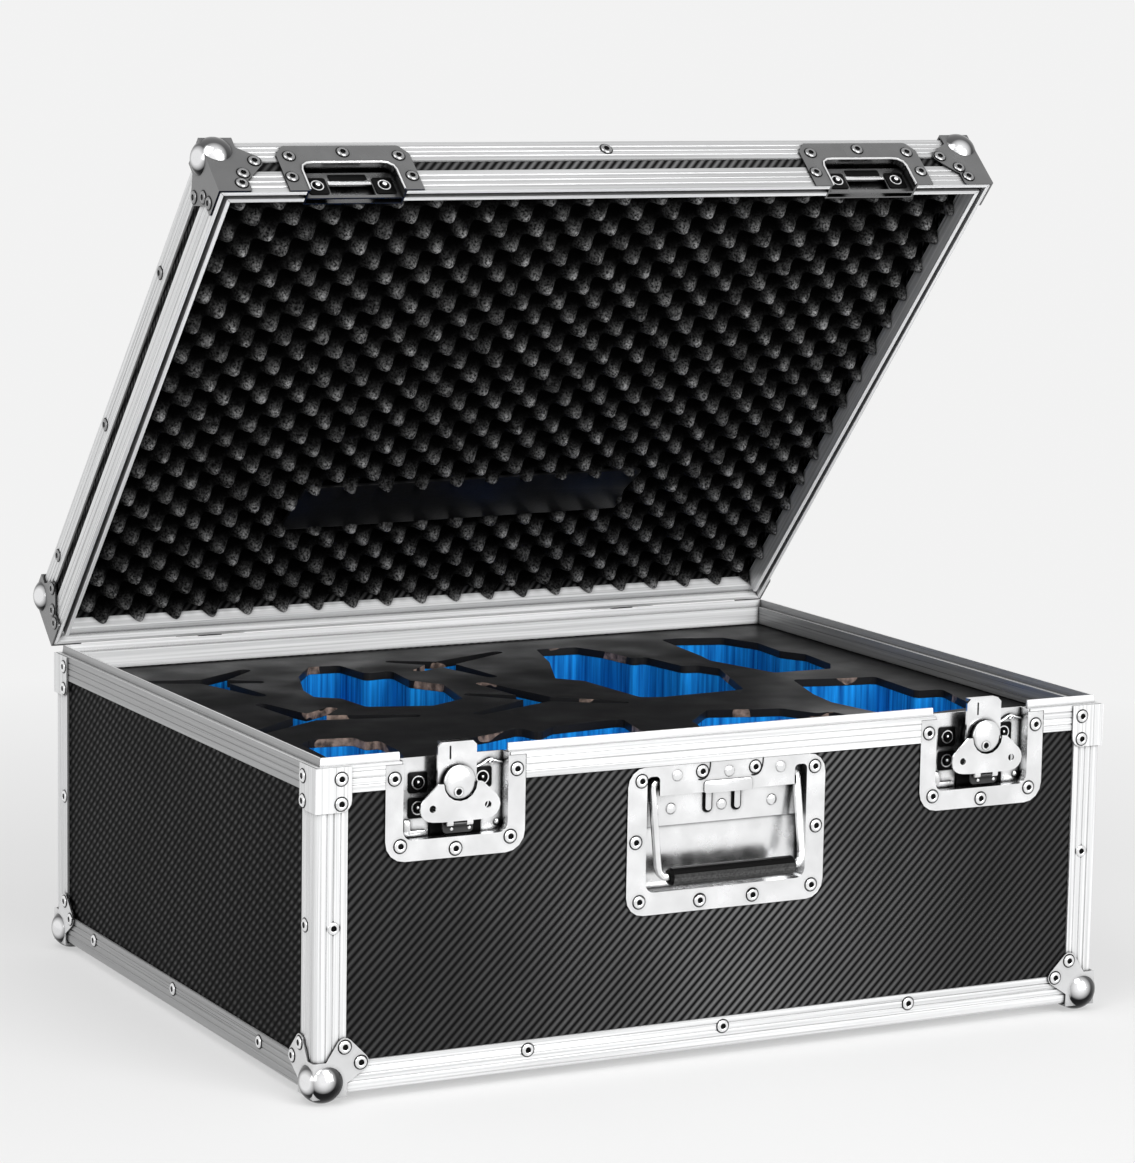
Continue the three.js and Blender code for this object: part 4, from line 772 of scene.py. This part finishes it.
def notch(node, play=0.001):
    """A block round a CAD dish, a millimetre larger each way and open to the front."""
    low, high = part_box(node)
    left, right, back = low.x - play, high.x + play, high.y + play
    flat = np.array([(left, CASE_FRONT), (right, CASE_FRONT), (right, back), (left, back)]) / MM
    return prism(flat, low.z - play, high.z + play)


def foam_cutters(low, high):
    slots = [slot_bar(hub, tip) for hub, tips in SLOTS.values() for tip in tips]
    notches = [notch(node) for node in ("latch_dish_left", "latch_dish_right", "handle_dish")]
    return [prism(outline, low, high) for outline in pocket_outlines + slots] + notches


FOAM_TOP = PARTING - 0.015
SHEET_BOTTOM = FOAM_TOP - 0.006
BLOCK_TOP = SHEET_BOTTOM - 0.0003
BLOCK_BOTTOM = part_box("foam_base")[0].z
POCKET_FLOOR = BLOCK_TOP - 0.12
THROUGH = 0.001
block_cutters = foam_cutters(POCKET_FLOOR, BLOCK_TOP + THROUGH)
sheet_cutters = foam_cutters(SHEET_BOTTOM - THROUGH, FOAM_TOP + THROUGH)
cut_foam("blue_foam_block", BLOCK_BOTTOM, BLOCK_TOP, block_cutters, 0.0004,
         blue_foam, ("foam_block", "foam_base"))
cut_foam("black_top_sheet", SHEET_BOTTOM, FOAM_TOP, sheet_cutters, 0.0008,
         sheet_foam, ("foam_top_sheet",))

# %% [markdown]
# ## Egg-crate foam in the lid
#
# Convoluted foam is a sheet pressed and sliced into rounded peaks and pits on a chequered plan.
# Its height is a product of two cosines: a peak stands wherever both are +1 or both are -1, so
# neighbouring rows are staggered by half a pitch. Raising the wave to a power makes the peaks
# slimmer than the pits, as they are on the real sheet.

# %% The egg-crate surface
EGG_ACROSS, EGG_DEEP = 40, 30
EGG_HALF = np.array([314.4, 243.4])
ROWS, COLUMNS = 241, 187
PATCH_BACK, PATCH_THICKNESS = 19.5, 2.5
FIELD_CENTRE, FIELD_HALF, FIELD_LEAN = (-3, 120), (149, 24), 0.013
DISH_HALF, DISH_SETBACK, DISH_REACH = 40, 4.2, 20


def egg_height(x, y):
    """Depth below the lid's rim: valley - (valley - peak) * ((1 + cos u cos v) / 2) ** 1.15."""
    u = math.pi * EGG_ACROSS * (x + EGG_HALF[0]) / (2 * EGG_HALF[0])
    v = math.pi * EGG_DEEP * (y + EGG_HALF[1]) / (2 * EGG_HALF[1])
    wave = (1 + np.cos(u) * np.cos(v)) / 2
    return EGG_VALLEY - (EGG_VALLEY - EGG_PEAK) * wave ** 1.15


def ramp(inside, width):
    """0 outside, 1 where inside is at least width, straight between: clip(inside / width, 0, 1)."""
    return np.clip(inside / width, 0, 1)


def egg_crate():
    """The wavy face as a grid, with a skirt up to the flat back and the back itself closing it.

    The field behind the patch is pressed down to the patch's back, and the front edge is set back
    where the latch dishes come through the wall.
    """
    x, y = np.meshgrid(np.linspace(-EGG_HALF[0], EGG_HALF[0], ROWS),
                       np.linspace(-EGG_HALF[1], EGG_HALF[1], COLUMNS), indexing="ij")
    z = egg_height(x, y)
    across = FIELD_HALF[0] - np.abs(x - FIELD_CENTRE[0])
    deep = FIELD_HALF[1] - np.abs(y - FIELD_CENTRE[1] + FIELD_LEAN * x)
    z += ramp(across, 4) * ramp(deep, 4) * np.maximum(PATCH_BACK + 0.5 - z, 0)
    behind_dish = ramp(DISH_HALF - np.abs(np.abs(x) - LATCH_AT), 2)
    y = y + DISH_SETBACK * behind_dish * ramp(DISH_REACH - y - EGG_HALF[1], DISH_REACH)
    face = np.stack([x, y, z], axis=-1).reshape(-1, 3)
    index = np.arange(ROWS * COLUMNS).reshape(ROWS, COLUMNS)
    rim = np.concatenate([index[:-1, 0], index[-1, :-1], index[:0:-1, -1], index[0, :0:-1]])
    back = face[rim].copy()
    back[:, 2] = EGG_BACK
    ring = len(face) + np.arange(len(rim))
    skirt = np.column_stack([rim, ring, np.roll(ring, -1), np.roll(rim, -1)])
    faces = grid_faces(ROWS, COLUMNS).tolist() + skirt.tolist() + [ring.tolist()]
    return opened(np.concatenate([face, back]) * MM), faces


lid_foam = put_piece("egg_crate_foam", *egg_crate(), "lid", "black_foam", egg_foam)
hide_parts("lid_foam")

# %% [markdown]
# ## Rivets
#
# The edges and plates are held by blind rivets: a low domed ring with a hole, and the broken end
# of a steel pin in the hole. Both are small lathe shapes. Each rivet is dropped onto the surface
# it sits on by casting a ray at the CAD, so it touches whatever plate lies there.

# %% Drop rivets onto the case
def surface_of(names):
    """A search tree over the triangles of some CAD parts."""
    points, triangles = [], []
    for name in names:
        start = len(points)
        points += [vertex.co.copy() for vertex in nodes[name].data.vertices]
        triangles += [[corner + start for corner in face.vertices]
                      for face in nodes[name].data.polygons]
    return BVHTree.FromPolygons(points, triangles)


surfaces = {body: surface_of(frame["record"]["behaviour"]["bodies"][body])
            for body in ("base", "lid")}


def landed(body, places, normal, above=0.03):
    """Frames standing on a body's surface where rays cast against the normal first meet it."""
    normal = Vector(normal)
    frames = []
    for place in places:
        hit = surfaces[body].ray_cast(Vector(place) + above * normal, -normal)[0]
        if hit is None:
            print("no surface under", np.round(place, 4))
        else:
            frames.append(standing(hit, normal))
    return frames


HEAD = [(0, 0), (4.6, 0), (4.6, 0.5), (4.2, 1.0), (3.6, 1.4), (2.8, 1.5), (2.2, 1.25), (2.0, 0.5),
        (0, 0.5)]
CORE = [(0, 0.4), (2.02, 0.4), (2.02, 0.62), (1.2, 0.62), (1.05, 0.95), (0, 1.0)]
# A thin dark disc under each head's edge is a painted shadow.
SHADOW_RING = [(0, -0.1), (5.35, -0.1), (5.35, 0.2), (0, 0.2)]
RIVET_SIDES = 16


def weld(piece):
    """Merge doubled points, turn every face outwards and keep edges over 35 degrees sharp."""
    shape = bmesh.new()
    shape.from_mesh(piece.data)
    bmesh.ops.remove_doubles(shape, verts=shape.verts, dist=1e-7)
    bmesh.ops.recalc_face_normals(shape, faces=shape.faces)
    shape.to_mesh(piece.data)
    shape.free()
    piece.data.set_sharp_from_angle(angle=math.radians(35))


def rivets(name, body, frames, plating):
    """Heads, pin ends and a dark disc under each head, a painted shadow, on one body, as three
    pieces.
    """
    for part, profile, finish in (("heads", HEAD, plating), ("cores", CORE, dark_steel_and_shadow),
                                  ("shadow_rings", SHADOW_RING, dark_steel_and_shadow)):
        shape = copies(*lathe(np.array(profile) * MM, RIVET_SIDES), frames)
        weld(put_piece(f"{name}_{part}", *shape, body, "zinc_steel", finish))


def both(*places):
    """The same places on the left and on the right."""
    return [(side * x, z) for side in (-1, 1) for x, z in places]


def beside(centre, *places):
    """Places about the two centres of a pair of fittings."""
    return [(side * centre + x, z) for side in (-1, 1) for x, z in places]


# %% Where the base's rivets are, in millimetres from the middle and the parting line
BASE_LONG = both((307, -8.5), (307, -26), (311.5, -113.5), (302.9, -198), (290.6, -210.1))
BASE_LONG += [(x, -216.5) for x in (-159.5, 0, 159.5)]
BASE_FRONT = (
    BASE_LONG
    + beside(LATCH_AT, (-47.4, -12), (47.4, -12), (-42.7, -60), (42.7, -60), (0, -65))
    + [(-71, -29), (-21.5, -25.5), (22.5, -25.5), (73, -29), (-75, -73.5), (75, -73.5),
       (-71.5, -117.5), (-21.5, -120.5), (22.5, -120.5), (72, -117.5)]
)
BASE_BACK = BASE_LONG + beside(HINGE_AT, (-22, -17), (22, -17))
BASE_SIDE = both((234, -8.5), (234, -26), (236, -113.5), (231.9, -198), (219.6, -210.1))
BASE_SIDE += [(y, -216.5) for y in (-157, 6, 171)]


def on_walls(front, back, side):
    """Wall places in mm as points in space, with the normals of the four walls."""
    return (([(x, FRONT, z) for x, z in front], (0, -1, 0)),
            ([(x, -FRONT, z) for x, z in back], (0, 1, 0)),
            ([(-HALF, y, z) for y, z in side], (-1, 0, 0)),
            ([(HALF, y, z) for y, z in side], (1, 0, 0)))


base_frames = []
for places, normal in on_walls(BASE_FRONT, BASE_BACK, BASE_SIDE):
    base_frames += landed("base", np.array(places) * MM + [0, 0, PARTING], normal)
rivets("base_rivets", "base", base_frames, zinc)

# %% Where the lid's rivets are, on the closed lid
LID_LONG = both((302.9, 18), (290.6, 30.1), (307, 8)) + [(0, 42)]
LID_FRONT = LID_LONG + beside(
    LATCH_AT, (-43.5, 35), (43.5, 35), (0, 38.7), (-47.5, 14.2), (47.5, 14.2))
LID_BACK = LID_LONG + beside(HINGE_AT, (-22, 10), (22, 10))
LID_SIDE = both((231.9, 18), (219.6, 30.1), (236, 8)) + [(y, 42) for y in (-129, 38, 193)]
LID_TOP = [(x, end * y, LID_HEIGHT) for end in (-1, 1)
           for x, y in both((302.9, 220), (290.6, 232.1))]

lid_frames = []
for places, normal in (*on_walls(LID_FRONT, LID_BACK, LID_SIDE), (LID_TOP, (0, 0, 1))):
    lid_frames += landed("lid", opened(np.array(places) * MM), normal @ case_axes(True))
# The lid's rivets use a darker zinc, a painted dark reflection.
rivets("lid_rivets", "lid", lid_frames, grey_reflection_zinc)

# %% [markdown]
# ## Corner balls
#
# The CAD ball is a faceted solid. A finer sphere lies a tenth of a millimetre over it. Its centre
# is 9 mm in from each of the three outer faces; points that would lie inside the case are drawn in
# to half the radius, so nothing shows on the inner side.

# %% Balls on the eight corners
BALL_RADIUS, BALL_INSET, BALL_MARGIN = 16.1, 9.0, 1.5


def ball(centre, outward):
    """A sphere in mm: p = centre + r n, with r halved where r n stays inside all three faces."""
    lean = np.linspace(-math.pi / 2, math.pi / 2, 29)
    unit, quads = lathe(np.column_stack([np.cos(lean), np.sin(lean)]), 56)
    beyond = (unit * BALL_RADIUS * outward).max(axis=1) > BALL_INSET - BALL_MARGIN
    return centre + unit * np.where(beyond, BALL_RADIUS, BALL_RADIUS / 2)[:, None], quads


def corner_balls(name, body, level, upward):
    balls = []
    for side, end in ((-1, -1), (-1, 1), (1, -1), (1, 1)):
        centre = np.array([side * (HALF - BALL_INSET), end * (-FRONT - BALL_INSET), level])
        points, quads = ball(centre, np.array([side, end, upward]))
        balls.append((opened(points * MM) if body == "lid" else points * MM, quads))
    weld(put_piece(name, *joined(balls), body, "chrome", ball_chrome))


corner_balls("base_balls", "base", UNDERSIDE / MM + BALL_INSET, -1)
corner_balls("lid_balls", "lid", LID_HEIGHT - BALL_INSET, 1)

# %% [markdown]
# ## Small fittings
#
# Inside the latch and handle dishes are many small pressed and riveted shapes. Each is one of three
# kinds: a flat plate with a drawn-in edge, a domed button, or a bent wire. They are laid out in
# millimetres on the front, x to the right, y up from the parting line and z outward. Each group
# rides on the body that it is fixed to, so the caps and dots turn with their latch.

# %% Plates, buttons and wires
def raised(outline, height, edge=0.3):
    """A flat plate: rings of the outline at rising heights, the last ones drawn in by the edge."""
    outline = np.asarray(outline, float)
    along = np.roll(outline, -1, axis=0) - np.roll(outline, 1, axis=0)
    inward = np.column_stack([-along[:, 1], along[:, 0]])
    inward /= np.linalg.norm(along, axis=1, keepdims=True)
    steps = ((0, 0), (0, height - edge), (0.3 * edge, height - 0.3 * edge), (edge, height))
    count = len(outline)
    rings = [np.column_stack([outline + inward * inset, np.full(count, level)])
             for inset, level in steps]
    faces = grid_faces(len(rings), count, closed=True).tolist()
    ends = [list(range(count))[::-1], list(range(3 * count, 4 * count))]
    return np.concatenate(rings), faces + ends


def raised_box(left, right, low, high, radius, height, edge=0.3):
    corners = [(left, low), (right, low), (right, high), (left, high)]
    return raised(rounded(corners, radius), height, edge)


def button(radius, height, steps=6):
    """A dome: radius R cos t at height h sin t, closed below."""
    turn = np.linspace(0, math.pi / 2, steps)
    dome = np.column_stack([radius * np.cos(turn), height * np.sin(turn)])
    return lathe(np.concatenate([[(0, 0)], dome]), 24)


def wire(path, radius, sides=8):
    """A round tube along a flat path: p = path + r cos a (side direction) + r sin a (outward)."""
    path = np.asarray(path, float)
    along = np.gradient(path, axis=0)
    side = np.column_stack([-along[:, 1], along[:, 0]])
    side /= np.linalg.norm(along, axis=1, keepdims=True)
    angle = np.arange(sides)[None, :, None] * 2 * math.pi / sides
    flat = path[:, None] + radius * np.cos(angle) * side[:, None]
    height = np.broadcast_to(radius * np.sin(angle), (len(path), sides, 1))
    count = len(path) * sides
    faces = grid_faces(len(path), sides, closed=True).tolist()
    ends = [list(range(sides)), list(range(count - sides, count))[::-1]]
    return np.concatenate([flat, height], axis=-1).reshape(-1, 3), faces + ends


def fitting(name, body, finish, centre, *items):
    """One piece of shapes laid out about a centre: each item is a shape, its places and a depth.

    The depth is measured inwards from the front plane of the base or of the closed lid.
    """
    shapes = []
    for (points, faces), places, depth in items:
        for x, y in places:
            placed = np.column_stack([centre + x + points[:, 0], FRONT + depth - points[:, 2],
                                      y + points[:, 1]]) * MM
            placed = opened(placed) if body == "lid" else placed + [0, 0, PARTING]
            shapes.append((placed, faces))
    weld(put_piece(name, *joined(shapes), body, "zinc_steel", finish))


# %% Shapes inside the latches
LATCH_FLOOR, KEEPER_FLOOR, ROTOR_FACE = 10.8, 6.5, -2.95
FRAMED, KEEPER_FRAMED, MIDDLE = both((25, -18), (25, -36)), both((26.5, 12)), [(0, 0)]
RIM_RING = [(4.1, 0.6), (5.0, 0.6), (5.0, 1.3), (4.1, 1.3), (4.1, 0.6)]
TAB = [(-36, -56.5), (-19, -56.5), (-19, -52), (-31, -52), (-31, -44), (-36, -44)]
LOOP = [(20, -10), (24, -8.5), (28, -6), (31.5, -5), (33.5, -6.5), (32, -8.5), (29.5, -7.5),
        (32, -5.8), (36, -7), (40, -8)]
CAP = [(0, 4.6), (12.15, 4.6), (12.15, 5.6), (11.6, 6.25), (9, 7.0), (5, 7.5), (2, 7.65), (0, 7.7)]
CAP_RIVET = [(0, 6.6), (3.5, 6.6), (3.5, 7.7), (3.1, 8.1), (2.4, 8.1), (2.1, 7.8), (0, 7.8)]
CAP_RIVET_CORE = [(0, 7.7), (2.1, 7.7), (2.1, 7.9), (0.9, 7.9), (0.8, 8.2), (0, 8.2)]
CAP_AT, CAP_RIVET_AT = [(0, -17)], [(-1.7, -23.2)]
KEEPER_RIM = [(-37.4, 1), (-37.4, 21), (-36, 25.4), (-32, 28.2), (-27, 28.8), (27, 28.8),
              (32, 28.2), (36, 25.4), (37.4, 21), (37.4, 1)]

# %% Latch fittings
def dish_fittings(side, at):
    """On the dish's floor: framed rivets, a bent tab, a wire and a flap, with dots on the rotor.

    The flap is a dark plate, a painted shade.
    """
    fitting(f"latch_fittings_{side}", "base", zinc, at,
            (lathe(RIM_RING, 24), FRAMED, LATCH_FLOOR),
            (button(1.1, 0.8), [(x - 0.6, y + 0.6) for x, y in FRAMED], LATCH_FLOOR - 2.8),
            (button(2.6, 1.8), [(37, -51)], LATCH_FLOOR),
            (raised(rounded(TAB, 1.2), 2.0), MIDDLE, LATCH_FLOOR),
            (wire(LOOP, 0.7), MIDDLE, LATCH_FLOOR - 2.0))
    fitting(f"rotor_dots_{side}", f"rotor_{side}", zinc, at,
            (button(1.5, 0.8), [(-4.9, -50), (8.8, -50)], ROTOR_FACE))
    # The dark plate across the bottom of the dish is a painted shade.
    fitting(f"latch_dark_plates_{side}", "base", dark_steel_and_shadow, at,
            (raised_box(-7.4, 7.4, -7.4, 7.4, 2, 0.8), FRAMED, LATCH_FLOOR),
            (button(3.2, 2.9), FRAMED, LATCH_FLOOR),
            (raised_box(-16, 24, -57, -45, 1, 1.6), MIDDLE, LATCH_FLOOR))


def rotor_fittings(side, at):
    """A smooth cap with one rivet on the turning disc, and a scored line on the hook."""
    for part, profile, sides, place, finish in (
            ("cap", CAP, 48, CAP_AT, zinc), ("rivet", CAP_RIVET, 24, CAP_RIVET_AT, zinc),
            ("rivet_core", CAP_RIVET_CORE, 24, CAP_RIVET_AT, dark_steel_and_shadow)):
        fitting(f"rotor_{part}_{side}", f"rotor_{side}", finish, at,
                (lathe(profile, sides), place, 0))
    fitting(f"hook_line_{side}", f"hook_{side}", dark_steel_and_shadow, at,
            (raised_box(-6.1, -4.9, -1, 8.5, 0.5, 0.2, 0.1), MIDDLE, -0.95))


def keeper_fittings(side, at):
    """On the lid: two framed rivets, a bright rolled rim, a bright bar and a dark window."""
    fitting(f"keeper_fittings_{side}", "lid", zinc, at,
            (lathe(RIM_RING, 24), KEEPER_FRAMED, KEEPER_FLOOR),
            (button(2.0, 0.9), KEEPER_FRAMED, KEEPER_FLOOR - 2.8),
            (wire(KEEPER_RIM, 0.9), MIDDLE, -1.5),
            (raised_box(-17, 17, 13.4, 17, 0.5, 0.4, 0.1), MIDDLE, KEEPER_FLOOR))
    fitting(f"keeper_window_{side}", "lid", dark_steel_and_shadow, at,
            (raised_box(-8, 8, -8, 8, 2, 0.8), KEEPER_FRAMED, KEEPER_FLOOR),
            (button(3.4, 2.9), KEEPER_FRAMED, KEEPER_FLOOR),
            (raised_box(-15, 15, 17.5, 23.5, 1, 0.4, 0.1), MIDDLE, KEEPER_FLOOR))


for side, at in (("left", -LATCH_AT), ("right", LATCH_AT)):
    dish_fittings(side, at)
    rotor_fittings(side, at)
    keeper_fittings(side, at)

# %% Handle fittings
COVER, LEDGE = 0.3, 9.0
CURL = [(6.6, 6.6), (6.4, 3), (5.8, -0.5), (4.4, -3.6), (2.2, -5.4), (-0.6, -6.1), (-3, -5.8)]
SLOTTED = both((12, 0))
fitting("handle_fittings", "base", zinc, 0,
        (button(4.2, 1.3), [(x, -27) for x in (-42, 1, 44)], COVER),
        (button(4.2, 1.3), [(x, -53) for x in (-42, 0, 42)], LEDGE),
        (raised_box(-20, 20, -42, -33, 2.5, 0.9), MIDDLE, COVER),
        (raised_box(-2.4, 2.4, -56.4, -37, 2.3, 2.2), SLOTTED, LEDGE))
# The long dark strip under the cover is a painted shadow.
fitting("handle_slots", "base", dark_steel_and_shadow, 0,
        (raised_box(-3.8, 3.8, -58, -37, 3.6, 1.0), SLOTTED, LEDGE),
        (raised_box(-50, 50, -41, -38.2, 0.5, 0.5), MIDDLE, LEDGE),
        (wire(CURL, 0.5, 6), [(-21.5, -25.5), (22.5, -25.5)], COVER))

# %% The smooth patch on the lid foam
PATCH = [(-149, 96), (146, 91), (154, 93), (146, 116), (146, 140), (-6, 143), (-157, 146)]
points, faces = raised(rounded(PATCH, 3), PATCH_THICKNESS, edge=0.8)
points = opened(np.column_stack([points[:, :2], PATCH_BACK - points[:, 2]]) * MM)
weld(put_piece("lid_patch", points, faces, "lid", "black_foam", patch_vinyl))
